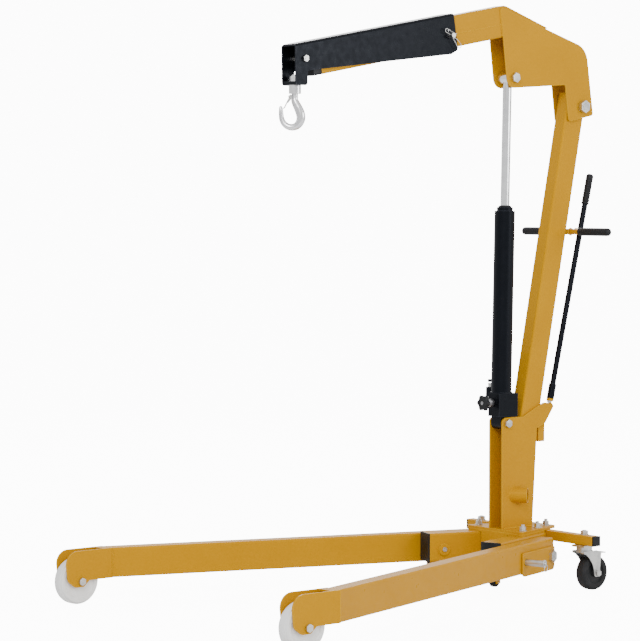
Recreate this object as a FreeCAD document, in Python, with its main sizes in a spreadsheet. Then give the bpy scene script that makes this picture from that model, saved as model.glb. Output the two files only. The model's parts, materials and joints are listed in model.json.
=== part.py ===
import FreeCAD, Part
import Sketcher
import math
import os
import re

# Folding engine hoist crane, millimetres. +Z is up, the floor is z = 0, the boom and the hook
# point to -Y and the machine is symmetric about X = 0. "Right" is +X.

V = FreeCAD.Vector
doc = FreeCAD.newDocument("engine_hoist_crane")
sheet = doc.addObject("Spreadsheet::Sheet", "dims")

DIMENSIONS = [
    # alias, value, what it is
    ("base_back", 463.7, "mast base behind the middle of the machine"),
    ("move_gap", 0.4, "gap between bodies that move past each other"),
    ("fit", 0.05, "radial clearance of a running fit"),
    # arms, foot and rear beam
    ("splay", 19, "angle of each leg from the centre line, degrees"),
    ("arm_wide", 60, "arm tube width"),
    ("arm_high", 80, "arm tube height"),
    ("arm_low", 70, "underside of the arms"),
    ("arm_wall", 4, "arm tube wall"),
    ("arm_front", 190, "front end of the arms ahead of the leg pivot, along the arm"),
    ("arm_rear", 59, "rear end of the arms behind the mast base"),
    ("deck_thick", 6, "welded deck plate"),
    ("flange_thick", 8, "bolted foot flange"),
    ("flange_front", 72, "front edge of the flange ahead of the mast base"),
    ("flange_rear", 116, "rear edge of the flange"),
    ("flange_front_half", 115, "half width of the flange at the front"),
    ("flange_rear_half", 52, "half width of the flange at the rear"),
    ("foot_bolt", 10, "flange bolt diameter"),
    ("beam_size", 28, "rear beam square tube"),
    ("beam_half", 254, "half length of the rear beam"),
    ("beam_back", 74, "rear beam behind the mast base"),
    ("cap_thick", 5, "plastic end caps"),
    # legs
    ("leg_wide", 48.5, "leg tube width"),
    ("leg_high", 81, "leg tube height"),
    ("leg_low", 64, "underside of the legs"),
    ("leg_wall", 4, "leg tube wall"),
    ("leg_tail", 24, "leg behind its pivot"),
    ("leg_pivot_x", 126, "leg pivot from the centre line"),
    ("leg_pivot_ahead", 8, "leg pivot ahead of the mast base"),
    ("leg_pivot_high", 97, "leg pivot above the floor"),
    ("leg_bolt", 20, "leg pivot bolt diameter"),
    ("lock_pin", 18, "leg lock pin diameter"),
    ("lock_ahead", 152, "lock pin ahead of the leg pivot"),
    ("lock_reach", 58, "lock pin drawn out beyond the bracket"),
    ("bracket_thick", 5, "outer leg bracket plate"),
    # front forks and wheels
    ("track_half", 484, "front wheel from the centre line"),
    ("wheel_ahead", 1147, "front wheel axle ahead of the mast base"),
    ("wheel_dia", 125, "front wheel diameter"),
    ("wheel_wide", 36, "front wheel width"),
    ("wheel_bolt", 12, "front wheel bolt diameter"),
    ("fork_wide", 52, "front fork outside width"),
    ("fork_thick", 5, "front fork cheek"),
    ("fork_long", 100, "fork behind the front axle"),
    ("store_wheel_dia", 40, "small storage wheel diameter"),
    ("store_wheel_high", 46, "storage wheel axle above the floor"),
    # castors
    ("castor_x", 210, "castor swivel from the centre line"),
    ("castor_trail", 29, "castor axle behind its swivel"),
    ("castor_dia", 98, "castor wheel diameter"),
    ("castor_wide", 34, "castor wheel width"),
    ("kingpin", 12, "castor kingpin diameter"),
    # post and mast
    ("mast_wide", 44, "mast tube width"),
    ("mast_deep", 70, "mast tube depth"),
    ("mast_wall", 4, "mast tube wall"),
    ("mast_lean", 11.34, "mast leans back, degrees"),
    ("mast_offset", 17.7, "boom pivot behind the mast centre line"),
    ("mast_down", 964, "mast tube below the boom pivot"),
    ("mast_up", 30, "mast tube above the boom pivot"),
    ("post_thick", 6, "post plate"),
    ("push_high", 991, "push bar height"),
    ("push_back", 203, "push bar behind the mast base"),
    ("push_half", 171, "half length of the push bar"),
    ("push_dia", 16, "push bar diameter"),
    ("grip_long", 115, "push bar grip length"),
    ("grip_dia", 24, "push bar grip diameter"),
    # boom
    ("pivot_back", 238, "boom pivot behind the mast base"),
    ("pivot_high", 1345, "boom pivot above the floor"),
    ("boom_slope", 10.5, "boom slopes down to the front, degrees"),
    ("pivot_bolt", 20, "boom pivot bolt diameter"),
    ("boom_wide", 50, "boom tube width"),
    ("boom_high", 86, "boom tube height"),
    ("boom_wall", 4, "boom tube wall"),
    ("boom_low", 237, "underside of the boom tube above the pivot"),
    ("boom_front", 948, "front end of the boom tube ahead of the pivot"),
    ("plate_thick", 4, "boom side plate"),
    ("slant", 29.3, "slanted rear of the boom below its top line, degrees"),
    ("slant_front", 243, "front of the slant ahead of the boom pivot"),
    ("cap_long", 28, "boom end cap"),
    ("eye_ahead", 246, "ram top pin ahead of the boom pivot"),
    ("eye_up", 122, "ram top pin above the boom pivot"),
    # sleeve and hook
    ("sleeve_wall", 4, "extension sleeve wall"),
    ("sleeve_gap", 1, "gap between the sleeve and the boom tube"),
    ("sleeve_front", 998, "front of the sleeve ahead of the pivot"),
    ("sleeve_rear", 440, "rear of the sleeve ahead of the pivot"),
    ("pin_ahead", 467, "sleeve pin ahead of the boom pivot"),
    ("pin_up", 272, "sleeve pin above the boom pivot"),
    ("pin_dia", 14, "sleeve pin diameter"),
    ("hole_pitch", 50, "pitch of the pin holes in the boom"),
    ("stem_ahead", 782, "hook stem ahead of the mast base"),
    ("stem_dia", 16, "hook stem diameter"),
    ("bridge_high", 1382, "underside of the hook bridge"),
    ("hook_round", 27, "hook centre line radius"),
    ("hook_bar", 18, "hook bar diameter"),
    ("hook_off", 5, "bowl of the hook off its stem axis"),
    ("hook_mid", 1299, "middle of the hook bowl above the floor"),
    ("latch_out", 13, "latch hinge from the hook's stem axis"),
    ("latch_up", 52, "latch hinge above the middle of the bowl"),
    ("latch_tilt", 26, "latch leans out at rest, degrees"),
    # ram and pump
    ("ram_ahead", 48, "ram lower pin ahead of the mast base"),
    ("ram_high", 459, "ram lower pin above the floor"),
    ("ram_lean", 1.31, "ram leans back, degrees"),
    ("ram_long", 961.3, "ram between its pins"),
    ("ram_pin", 16, "ram top pin diameter"),
    ("ram_foot_pin", 13, "ram lower pin diameter"),
    ("cylinder_dia", 57, "ram cylinder diameter"),
    ("cylinder_bore", 44, "ram bore"),
    ("cylinder_top", 592, "top of the cylinder above the lower pin"),
    ("rod_dia", 25, "ram rod diameter"),
    ("block_low", 19, "underside of the pump block above the lower pin"),
    ("block_high", 65, "pump block height"),
    ("pump_out", 44, "pump barrel left of the ram axis"),
    ("pump_behind", 0, "pump barrel behind the ram axis"),
    ("lever_behind", 36, "lever pin behind the ram axis"),
    # pump handle
    ("handle_x", 28, "stored pump handle from the centre line"),
    ("handle_back", 117, "lower end of the stored handle behind the mast base"),
    ("handle_high", 521, "lower end of the stored handle above the floor"),
    ("handle_lean", 13.7, "stored handle leans back, degrees"),
    ("handle_long", 650, "pump handle length"),
    ("handle_dia", 16, "pump handle bar diameter"),
]

for row, (alias, value, note) in enumerate(DIMENSIONS, 1):
    sheet.set("A%d" % row, note)
    sheet.set("B%d" % row, str(value))
    sheet.setAlias("B%d" % row, alias)
doc.recompute()
DIM = {alias: value for alias, value, note in DIMENSIONS}
NODES = []


# ---------------------------------------------------------------- helpers

def ref(text):
    """Turn 'leg_wide / 2' into an expression on the sheet."""
    return re.sub(r"[a-z][a-z_]+", lambda m: "dims." + m.group(0) if m.group(0) in DIM else m.group(0), str(text))


def bind(obj, **sizes):
    for name, text in sizes.items():
        obj.setExpression(name, ref(text))


def shift(obj, x="0", y="0", z="0"):
    obj.setExpression("Placement.Base.x", ref(x))
    obj.setExpression("Placement.Base.y", ref(y))
    obj.setExpression("Placement.Base.z", ref(z))


def turned(obj, axis, angle):
    """Turn an object about an axis by an angle bound to the sheet."""
    obj.Placement = FreeCAD.Placement(V(0, 0, 0), FreeCAD.Rotation(axis, 1))
    obj.setExpression("Placement.Rotation.Angle", ref(angle))


ALONG = {
    "x": FreeCAD.Rotation(V(0, 1, 0), 90),
    "y": FreeCAD.Rotation(V(1, 0, 0), -90),
    "z": FreeCAD.Rotation(),
}


def box(name, size, corner):
    obj = doc.addObject("Part::Box", name)
    bind(obj, Length=size[0], Width=size[1], Height=size[2])
    shift(obj, *corner)
    return obj


def cylinder(name, radius, height, start, along="z"):
    obj = doc.addObject("Part::Cylinder", name)
    bind(obj, Radius=radius, Height=height)
    obj.Placement = FreeCAD.Placement(V(0, 0, 0), ALONG[along])
    shift(obj, *start)
    return obj


def hexagon(name, across, height, start, along="z"):
    obj = doc.addObject("Part::Prism", name)
    obj.Polygon = 6
    bind(obj, Circumradius="(%s) / 1.732" % across, Height=height)
    obj.Placement = FreeCAD.Placement(V(0, 0, 0), ALONG[along])
    shift(obj, *start)
    return obj


def fuse(name, *pieces):
    obj = doc.addObject("Part::MultiFuse", name)
    obj.Shapes = list(pieces)
    obj.Refine = True
    return obj


def group(name, *pieces):
    obj = doc.addObject("Part::Compound", name)
    obj.Links = list(pieces)
    return obj


def cut(name, base, *tools):
    obj = doc.addObject("Part::Cut", name)
    obj.Base = base
    obj.Tool = tools[0] if len(tools) == 1 else fuse(name + "_tools", *tools)
    obj.Refine = True
    return obj


def node(obj, label):
    """Name a finished sub-part; its label names its file."""
    obj.Label = label
    NODES.append(obj)
    return obj


def origin_plane(body, role):
    return [feature for feature in body.Origin.OriginFeatures if feature.Role == role][0]


def profile(body, name, role, points):
    """A closed outline on one of the body's own planes, each corner bound to the sheet.

    The corners start on a circle, and their bound places move them to the real outline."""
    sketch = body.newObject("Sketcher::SketchObject", name)
    sketch.AttachmentSupport = (origin_plane(body, role), [""])
    sketch.MapMode = "FlatFace"
    count = len(points)
    ring = [V(100 * math.cos(2 * math.pi * i / count), 100 * math.sin(2 * math.pi * i / count), 0)
            for i in range(count)]
    for i in range(count):
        sketch.addGeometry(Part.LineSegment(ring[i], ring[(i + 1) % count]), False)
    for i in range(count):
        sketch.addConstraint(Sketcher.Constraint("Coincident", i, 2, (i + 1) % count, 1))
    for i, (across, up) in enumerate(points):
        for kind, text, value in (("DistanceX", across, ring[i].x), ("DistanceY", up, ring[i].y)):
            index = sketch.addConstraint(Sketcher.Constraint(kind, -1, 1, i, 1, value))
            sketch.setExpression("Constraints[%d]" % index, ref(text))
    return sketch


def padded(name, points, role, thickness, rounds=(), both=False):
    """A PartDesign plate: an outline padded to a thickness, with some corners rounded.

    rounds lists (corner numbers, radius)."""
    body = doc.addObject("PartDesign::Body", name)
    sketch = profile(body, name + "_outline", role, points)
    doc.recompute()
    pad = body.newObject("PartDesign::Pad", name + "_pad")
    pad.Profile = sketch
    bind(pad, Length=thickness)
    pad.Midplane = both
    sketch.Visibility = False
    doc.recompute()
    tip = pad
    for number, (corners, radius) in enumerate(rounds):
        targets = [sketch.Geometry[corner].StartPoint for corner in corners]
        edges = [edge_name for edge_name, edge in named_edges(tip) if on_corner(edge, role, targets)]
        fillet = body.newObject("PartDesign::Fillet", "%s_round%d" % (name, number))
        fillet.Base = (tip, edges)
        bind(fillet, Radius=radius)
        doc.recompute()
        tip = fillet
    return body


def named_edges(feature):
    return [("Edge%d" % (i + 1), edge) for i, edge in enumerate(feature.Shape.Edges)]


def on_corner(edge, role, targets):
    """True for an edge that runs through the thickness of a plate at one of the targets."""
    if len(edge.Vertexes) != 2:
        return False
    start, end = (flat_point(vertex.Point, role) for vertex in edge.Vertexes)
    if math.dist(start, end) > 0.001:
        return False
    return any(math.dist(start, (target.x, target.y)) < 0.01 for target in targets)


def flat_point(point, role):
    return {"YZ_Plane": (point.y, point.z), "XZ_Plane": (point.x, point.z), "XY_Plane": (point.x, point.y)}[role]


def box_tube(name, wide, high, wall, long, radius="6"):
    """A rounded rectangular tube centred on its own Y axis, from y = 0 to y = -long."""
    half_wide, half_high = "(%s) / 2" % wide, "(%s) / 2" % high
    corners = [("-" + half_wide, "-" + half_high), (half_wide, "-" + half_high),
               (half_wide, half_high), ("-" + half_wide, half_high)]
    body = padded(name, corners, "XZ_Plane", long, [((0, 1, 2, 3), radius)])
    inner_wide, inner_high = "(%s) / 2 - (%s)" % (wide, wall), "(%s) / 2 - (%s)" % (high, wall)
    inner = [("-(%s)" % inner_wide, "-(%s)" % inner_high), (inner_wide, "-(%s)" % inner_high),
             (inner_wide, inner_high), ("-(%s)" % inner_wide, inner_high)]
    sketch = profile(body, name + "_hollow", "XZ_Plane", inner)
    before = body.Shape.Volume
    pocket = body.newObject("PartDesign::Pocket", name + "_pocket")
    pocket.Profile = sketch
    pocket.Type = "ThroughAll"
    pocket.Reversed = True
    sketch.Visibility = False
    doc.recompute()
    if body.Shape.Volume > before - 1:
        pocket.Reversed = False
        doc.recompute()
    return body


def bolt(name, diameter, length, start, along="x", head="0.6", nut=True, across="1.6"):
    """A hex bolt with its head at the start and a nut at the far end."""
    x, y, z = start
    head_long = "(%s) * %s" % (head, diameter)
    flat = "(%s) * %s" % (across, diameter)
    step = {"x": ("-(%s)" % head_long, "0", "0"), "y": ("0", "-(%s)" % head_long, "0"),
            "z": ("0", "0", "-(%s)" % head_long)}[along]
    far = {"x": (length, "0", "0"), "y": ("0", length, "0"), "z": ("0", "0", length)}[along]
    shank = cylinder(name + "_shank", "(%s) / 2" % diameter, "(%s) + %s * 0.8" % (length, diameter), start, along)
    top = hexagon(name + "_head", flat, head_long, tuple("%s + %s" % pair for pair in zip(start, step)), along)
    pieces = [shank, top]
    if nut:
        pieces.append(hexagon(name + "_nut", flat, "0.7 * %s" % diameter,
                              tuple("%s + %s" % pair for pair in zip(start, far)), along))
    return fuse(name, *pieces)



def mirrored(side, low, high):
    """Start of a span low..high measured outwards from the centre, on either side."""
    return low if side > 0 else "-(%s)" % high


def out_cylinder(name, radius, side, low, high, y="0", z="0"):
    """A cylinder along X from low to high, measured outwards."""
    return cylinder(name, radius, "(%s) - (%s)" % (high, low), (mirrored(side, low, high), y, z), "x")


def out_hexagon(name, across, side, low, high, y="0", z="0"):
    return hexagon(name, across, "(%s) - (%s)" % (high, low), (mirrored(side, low, high), y, z), "x")


def out_box(name, side, low, high, y_low, y_high, z_low, z_high):
    size = ("(%s) - (%s)" % (high, low), "(%s) - (%s)" % (y_high, y_low), "(%s) - (%s)" % (z_high, z_low))
    return box(name, size, (mirrored(side, low, high), y_low, z_low))


def common(name, base, tool):
    obj = doc.addObject("Part::Common", name)
    obj.Base = base
    obj.Tool = tool
    obj.Refine = True
    return obj


def to_leg(obj, side):
    """From a leg's own frame: origin on its pivot, -Y along the leg."""
    turned(obj, V(0, 0, 1), "%d * splay" % side)
    shift(obj, "%d * leg_pivot_x" % side, "base_back - leg_pivot_ahead", "leg_pivot_high")
    return obj


def to_boom(obj):
    """From the boom's own frame: origin on its pivot, -Y along the boom."""
    turned(obj, V(1, 0, 0), "boom_slope")
    shift(obj, "0", "base_back + pivot_back", "pivot_high")
    return obj


def to_ram(obj):
    """From the ram's own frame: origin on its lower pin, +Z along the ram."""
    turned(obj, V(1, 0, 0), "-ram_lean")
    shift(obj, "0", "base_back - ram_ahead", "ram_high")
    return obj


def to_handle(obj):
    """From the pump handle's own frame: origin at its lower end, +Z along it."""
    turned(obj, V(1, 0, 0), "-handle_lean")
    shift(obj, "handle_x", "base_back + handle_back", "handle_high")
    return obj


SIDES = (("left", -1), ("right", 1))
ARM_MIDDLE = "(leg_wide / 2 + 2 + arm_wide / 2)"
LEG_FACE = "leg_wide / 2"
BRACKET_IN = "leg_wide / 2 + 1"
BRACKET_OUT = "leg_wide / 2 + 1 + bracket_thick"
ARM_FACE = "leg_wide / 2 + 2"


# ---------------------------------------------------------------- base

def arm(word, side):
    """One welded arm, cut square to the machine at the rear, with its storage wheel fork."""
    tube = box_tube("arm_tube_" + word, "arm_wide", "arm_high", "arm_wall", "arm_front + 200")
    shift(tube, "-%d * %s" % (side, ARM_MIDDLE), "200", "arm_low + arm_high / 2 - leg_pivot_high")
    pivot_hole = out_cylinder("arm_pivot_hole_" + word, "leg_bolt / 2 + fit", side, "-120", "0")
    lock_hole = out_cylinder("arm_lock_hole_" + word, "lock_pin / 2 + 0.3", side,
                             "-(%s) - arm_wall - 1" % ARM_FACE, "0", "-lock_ahead")
    drilled = to_leg(cut("arm_drilled_" + word, tube, pivot_hole, lock_hole), side)
    slab = box("arm_slab_" + word, ("1200", "500 + arm_rear", "300"), ("-600", "base_back - 500", "0"))
    straight = common("arm_square_" + word, drilled, slab)
    cheeks = []
    for number, inner in enumerate(("-13", "10")):
        plate = box("arm_cheek_%s_%d" % (word, number), ("3", "22", "arm_low - store_wheel_high + 10"),
                    (inner, "-11", "store_wheel_high - 10 - arm_low"))
        cheeks.append(plate)
    pin = cylinder("store_axle_" + word, "4", "26", ("-13", "0", "store_wheel_high - arm_low"), "x")
    bracket = fuse("store_bracket_" + word, pin, *cheeks)
    turned(bracket, V(0, 0, 1), "%d * splay" % side)
    store_place(bracket, side, "arm_low")
    inner = "-%s - arm_wide / 2" % ARM_MIDDLE
    boss = out_cylinder("arm_boss_" + word, "16", side, inner + " - 6", inner + " + 1", "-148", "8")
    turned_boss = to_leg(group("arm_boss_turned_" + word, boss), side)
    return node(fuse("arm_" + word, straight, bracket, turned_boss), "base_arm_" + word)


def store_place(obj, side, height):
    """Put an object on the arm's middle line near its front end."""
    inward, ahead = "(leg_pivot_x - %s * cos(splay)" % ARM_MIDDLE, "172"
    shift(obj, "%d * %s + %s * sin(splay))" % (side, inward, ahead),
          "base_back - leg_pivot_ahead - %s * sin(splay) - %s * cos(splay)" % (ARM_MIDDLE, ahead), height)


def storage_wheel(word, side):
    disc = cylinder("store_disc_" + word, "store_wheel_dia / 2", "18", ("-9", "0", "0"), "x")
    bore = cylinder("store_bore_" + word, "4 + fit", "30", ("-15", "0", "0"), "x")
    wheel = cut("store_wheel_" + word, disc, bore)
    turned(wheel, V(0, 0, 1), "%d * splay" % side)
    store_place(wheel, side, "store_wheel_high")
    return node(wheel, "storage_wheel_" + word)


def end_caps():
    """Plastic caps over the front ends of the arms and the ends of the rear beam."""
    caps = []
    for word, side in SIDES:
        cap = out_box("arm_cap_" + word, side, "-%s - arm_wide / 2" % ARM_MIDDLE, "-%s + arm_wide / 2" % ARM_MIDDLE,
                      "-arm_front - cap_thick", "-arm_front", "arm_low - leg_pivot_high",
                      "arm_low + arm_high - leg_pivot_high")
        caps.append(to_leg(group("arm_cap_turned_" + word, cap), side))
        caps.append(out_box("beam_cap_" + word, side, "beam_half", "beam_half + cap_thick",
                            "base_back + beam_back - beam_size / 2", "base_back + beam_back + beam_size / 2",
                            FLANGE_LOW + " - beam_size", FLANGE_LOW))
    return node(group("end_cap_set", *caps), "end_caps")


def trapezoid(name, front, rear, front_half, rear_half, thickness, height):
    points = [("-" + front_half, "-" + front), (front_half, "-" + front), (rear_half, rear), ("-" + rear_half, rear)]
    plate = padded(name, points, "XY_Plane", thickness, [((0, 1, 2, 3), "8")])
    shift(plate, "0", "base_back", height)
    return plate


FOOT_BOLTS = (("90", "-46"), ("62", "36"), ("38", "92"))
DECK_LOW = "arm_low + arm_high"
FLANGE_LOW = "arm_low + arm_high + deck_thick"


def foot_bolt_holes(name, places):
    holes = []
    for number, (x, y) in enumerate(places):
        for word, side in SIDES:
            holes.append(cylinder("%s_%s_%d" % (name, word, number), "foot_bolt / 2 + fit", "60",
                                  ("%d * %s" % (side, x), "base_back + " + y, DECK_LOW + " - 20")))
    return holes


def base_deck():
    """Deck plate across the arms with its front cross plate."""
    deck = trapezoid("deck_plate", "flange_front", "arm_rear", "flange_front_half", "71", "deck_thick", DECK_LOW)
    front = box("deck_front", ("104", "6", "arm_high - 4"), ("-52", "base_back - flange_front", "arm_low + 4"))
    whole = fuse("deck_whole", deck, front)
    return node(cut("deck", whole, *foot_bolt_holes("deck_hole", FOOT_BOLTS[:2])), "base_deck")


def foot_flange():
    plate = trapezoid("flange_plate", "flange_front", "flange_rear", "flange_front_half", "flange_rear_half",
                      "flange_thick", FLANGE_LOW)
    return node(cut("flange", plate, *foot_bolt_holes("flange_hole", FOOT_BOLTS)), "foot_flange")


def foot_bolts():
    """Studs with washers and nuts that hold the foot flange."""
    bolts = []
    top = FLANGE_LOW + " + flange_thick"
    for number, (x, y) in enumerate(FOOT_BOLTS):
        low = DECK_LOW + " + 0.5" if number < 2 else FLANGE_LOW + " + 0.5"
        for word, side in SIDES:
            name = "foot_bolt_%s_%d" % (word, number)
            here = ("%d * %s" % (side, x), "base_back + " + y)
            stud = cylinder(name + "_stud", "foot_bolt / 2", "%s + 18 - (%s)" % (top, low), here + (low,))
            washer = cylinder(name + "_washer", "foot_bolt", "2", here + (top,))
            nut = hexagon(name + "_nut", "foot_bolt * 1.55", "10", here + (top + " + 2",))
            bolts.append(fuse(name, stud, washer, nut))
    return node(group("foot_bolt_set", *bolts), "foot_bolts")


def rear_beam():
    tube = box_tube("beam_tube", "beam_size", "beam_size", "3", "2 * beam_half", "3")
    tube.Placement = FreeCAD.Placement(V(0, 0, 0), FreeCAD.Rotation(V(0, 0, 1), 90))
    shift(tube, "-beam_half", "base_back + beam_back", FLANGE_LOW + " - beam_size / 2")
    holes = [cylinder("beam_hole_" + word, "kingpin / 2 + fit", "80",
                      ("%d * castor_x" % side, "base_back + beam_back", "100")) for word, side in SIDES]
    return node(cut("beam", tube, *holes), "rear_beam")


def leg_bracket(word, side):
    """Outer plate and under-shelf that carry one leg beside its arm."""
    points = [("20", "leg_low - leg_pivot_high - 6"), ("20", "26"), ("-lock_ahead - 16", "26"),
              ("-lock_ahead - 16", "leg_low - leg_pivot_high - 6")]
    plate = padded("bracket_plate_" + word, points, "YZ_Plane", "bracket_thick", [((0, 3), "14"), ((1, 2), "6")])
    shift(plate, mirrored(side, BRACKET_IN, BRACKET_OUT))
    shelf = out_box("bracket_shelf_" + word, side, "-(%s) - 19" % ARM_FACE, BRACKET_OUT, "-130", "-60",
                    "leg_low - leg_pivot_high - 6", "leg_low - leg_pivot_high - 1")
    riser = out_box("bracket_riser_" + word, side, "-(%s) - 19" % ARM_FACE, "-(%s)" % ARM_FACE, "-130", "-60",
                    "leg_low - leg_pivot_high - 6", "arm_low - leg_pivot_high")
    holes = [out_cylinder("bracket_pivot_" + word, "leg_bolt / 2 + fit", side, "0", "80"),
             out_cylinder("bracket_lock_" + word, "lock_pin / 2 + fit", side, "0", "80", "-lock_ahead")]
    return node(to_leg(cut("bracket_" + word, fuse("bracket_whole_" + word, plate, shelf, riser), *holes), side),
                "leg_bracket_" + word)


def leg_pivot_bolts():
    """Pivot bolts that run through bracket, leg and arm."""
    bolts = []
    inner = "-(%s) - arm_wide" % ARM_FACE
    for word, side in SIDES:
        shank = out_cylinder("leg_bolt_shank_" + word, "leg_bolt / 2", side, inner + " - 18", BRACKET_OUT)
        head = out_hexagon("leg_bolt_head_" + word, "leg_bolt * 1.5", side, BRACKET_OUT, BRACKET_OUT + " + 10")
        nut = out_hexagon("leg_bolt_nut_" + word, "leg_bolt * 1.5", side, inner + " - 14", inner)
        bolts.append(to_leg(fuse("leg_bolt_" + word, shank, head, nut), side))
    return node(group("leg_bolt_pair", *bolts), "leg_pivot_bolts")


def castor_heads():
    """Top plates, bearing rings, kingpins and nuts of the two castors."""
    heads = []
    low = FLANGE_LOW + " - beam_size"
    for word, side in SIDES:
        here = ("%d * castor_x" % side, "base_back + beam_back")
        plate = box("castor_plate_" + word, ("48", "50", "5"), (here[0] + " - 24", here[1] + " - 25", low + " - 5"))
        ring = cylinder("castor_ring_" + word, "22", "10", here + (low + " - 15",))
        pin = cylinder("kingpin_" + word, "kingpin / 2", "66", here + (low + " - 25",))
        foot = cylinder("kingpin_foot_" + word, "10", "5", here + (low + " - 25",))
        washer = cylinder("castor_washer_" + word, "12", "2", here + (FLANGE_LOW,))
        nut = hexagon("castor_nut_" + word, "19", "9", here + (FLANGE_LOW + " + 2",))
        heads.append(fuse("castor_head_" + word, plate, ring, pin, foot, washer, nut))
    return node(group("castor_head_pair", *heads), "castor_heads")


# ---------------------------------------------------------------- post and mast

def post_plate(word, side):
    points = [("-66", FLANGE_LOW + " + flange_thick"), ("-66", "475"), ("14", "475"), ("62", "498"), ("94", "510"),
              ("124", "508"), ("131", "498"), ("98", "452"), ("66", "440"), ("49", FLANGE_LOW + " + flange_thick")]
    plate = padded("post_outline_" + word, points, "YZ_Plane", "post_thick", [((1,), "14"), ((5, 6), "4")])
    shift(plate, mirrored(side, "mast_wide / 2", "mast_wide / 2 + post_thick"), "base_back")
    hole = out_cylinder("post_hole_" + word, "ram_foot_pin / 2 + fit", side, "0", "60", "base_back - ram_ahead", "ram_high")
    return node(cut("post_" + word, plate, hole), "post_plate_" + word)


def mast_tube():
    tube = box_tube("mast_body", "mast_wide", "mast_deep", "mast_wall", "mast_up + mast_down")
    turned(tube, V(1, 0, 0), "90 - mast_lean")
    shift(tube, "0", "base_back + pivot_back + mast_up * sin(mast_lean) - mast_offset * cos(mast_lean)",
          "pivot_high + mast_up * cos(mast_lean) + mast_offset * sin(mast_lean)")
    hole = cylinder("mast_hole", "15", "80", ("-40", "base_back + pivot_back", "pivot_high"), "x")
    return node(cut("mast", tube, hole), "mast_tube")


def pivot_bush():
    here = ("base_back + pivot_back", "pivot_high")
    outer = cylinder("bush_outer", "15", "boom_wide - 1", ("-boom_wide / 2 + 0.5",) + here, "x")
    bore = cylinder("bush_bore", "pivot_bolt / 2 + fit", "80", ("-40",) + here, "x")
    return node(cut("bush", outer, bore), "pivot_bush")


def boom_pivot_bolt():
    start = ("-boom_wide / 2 - plate_thick - 0.5", "base_back + pivot_back", "pivot_high")
    return node(bolt("pivot_bolt_set", "pivot_bolt", "boom_wide + 2 * plate_thick + 1", start), "boom_pivot_bolt")


def ram_lower_pin():
    start = ("-mast_wide / 2 - post_thick", "base_back - ram_ahead", "ram_high")
    return node(bolt("lower_pin_set", "ram_foot_pin", "mast_wide + 2 * post_thick", start), "ram_lower_pin")


def handle_rest():
    """Folded heel at the back of the post."""
    outer = box("rest_outer", ("40", "24", "52"), ("-20", "base_back + 79", "400"))
    inner = box("rest_inner", ("34", "18", "60"), ("-17", "base_back + 82", "396"))
    return node(cut("rest", outer, inner), "post_heel")


def side_socket():
    """Short pipe welded on the right post plate, turned to the rear."""
    pipe = cylinder("socket_pipe", "21.2", "60", ("-26", "0", "0"), "x")
    bore = cylinder("socket_bore", "18", "30", ("15", "0", "0"), "x")
    whole = cut("socket_whole", pipe, bore)
    turned(whole, V(0, 0, 1), "38")
    face = "mast_wide / 2 + post_thick"
    shift(whole, face, "base_back - 15", "256")
    back = box("socket_back", ("100", "200", "100"), (face + " - 100", "base_back - 115", "206"))
    return node(cut("socket", whole, back), "side_socket")


def push_bar():
    bar = cylinder("push_rod", "push_dia / 2", "2 * push_half", ("-push_half", "base_back + push_back", "push_high"), "x")
    saddle = box("push_saddle", ("36", "12", "16"), ("-18", "base_back + push_back - 16", "push_high - 8"))
    return node(fuse("push_whole", bar, saddle), "push_bar")


def push_grips():
    grips = []
    for word, side in SIDES:
        here = ("base_back + push_back", "push_high")
        outer = out_cylinder("grip_outer_" + word, "grip_dia / 2", side, "push_half - grip_long", "push_half + 3", *here)
        inner = out_cylinder("grip_inner_" + word, "push_dia / 2", side, "push_half - grip_long - 1", "push_half", *here)
        grips.append(cut("grip_" + word, outer, inner))
    return node(group("grip_pair", *grips), "push_grips")


def handle_holders():
    """Peg that the stored pump handle stands on, and the ring behind the push bar that steadies it."""
    peg = cylinder("peg_shank", "7.6", "31", ("0", "0", "-7"))
    base = cylinder("peg_base", "10", "6.4", ("0", "0", "-7"))
    ring = cylinder("clip_ring", "13", "14", ("0", "0", "476"))
    bore = cylinder("clip_bore", "handle_dia / 2 + 1", "40", ("0", "0", "460"))
    lug = box("clip_lug", ("10", "8", "14"), ("-5", "-19", "476"))
    clip = cut("clip", fuse("clip_whole", ring, lug), bore)
    return node(to_handle(group("holders", fuse("peg", peg, base), clip)), "handle_holders")


def pump_handle():
    bar = cylinder("handle_bar", "handle_dia / 2", "handle_long - 40", ("0", "0", "40"))
    ferrule = cylinder("handle_ferrule", "10.5", "42", ("0", "0", "0"))
    bore = cylinder("handle_bore", "7.6 + fit", "32", ("0", "0", "-1"))
    return node(to_handle(cut("handle", fuse("handle_whole", bar, ferrule), bore)), "pump_handle")


def handle_grip():
    outer = cylinder("handle_grip_outer", "11", "88", ("0", "0", "handle_long - 86"))
    inner = cylinder("handle_grip_inner", "handle_dia / 2", "86", ("0", "0", "handle_long - 86"))
    return node(to_handle(cut("handle_grip_cut", outer, inner)), "handle_grip")


# ---------------------------------------------------------------- legs, forks, wheels

FORK_REAR = "base_back - wheel_ahead + fork_long"


def leg(word, side):
    """Leg tube with its pivot bush, cut square to the machine at the front."""
    tube = box_tube("leg_tube_" + word, "leg_wide", "leg_high", "leg_wall", "1300")
    shift(tube, "0", "leg_tail", "leg_low + leg_high / 2 - leg_pivot_high")
    bush = out_cylinder("leg_bush_" + word, "leg_bolt / 2 + 4", side, "-" + LEG_FACE, LEG_FACE)
    pivot = out_cylinder("leg_pivot_" + word, "leg_bolt / 2 + fit", side, "-60", "60")
    lock = out_cylinder("leg_lock_" + word, "lock_pin / 2 + 0.3", side, "-60", "60", "-lock_ahead")
    drilled = to_leg(cut("leg_drilled_" + word, fuse("leg_bushed_" + word, tube, bush), pivot, lock), side)
    slab = box("leg_slab_" + word, ("1400", "1400", "400"), ("-700", FORK_REAR, "-50"))
    return node(common("leg_" + word, drilled, slab), "leg_" + word)


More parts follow.
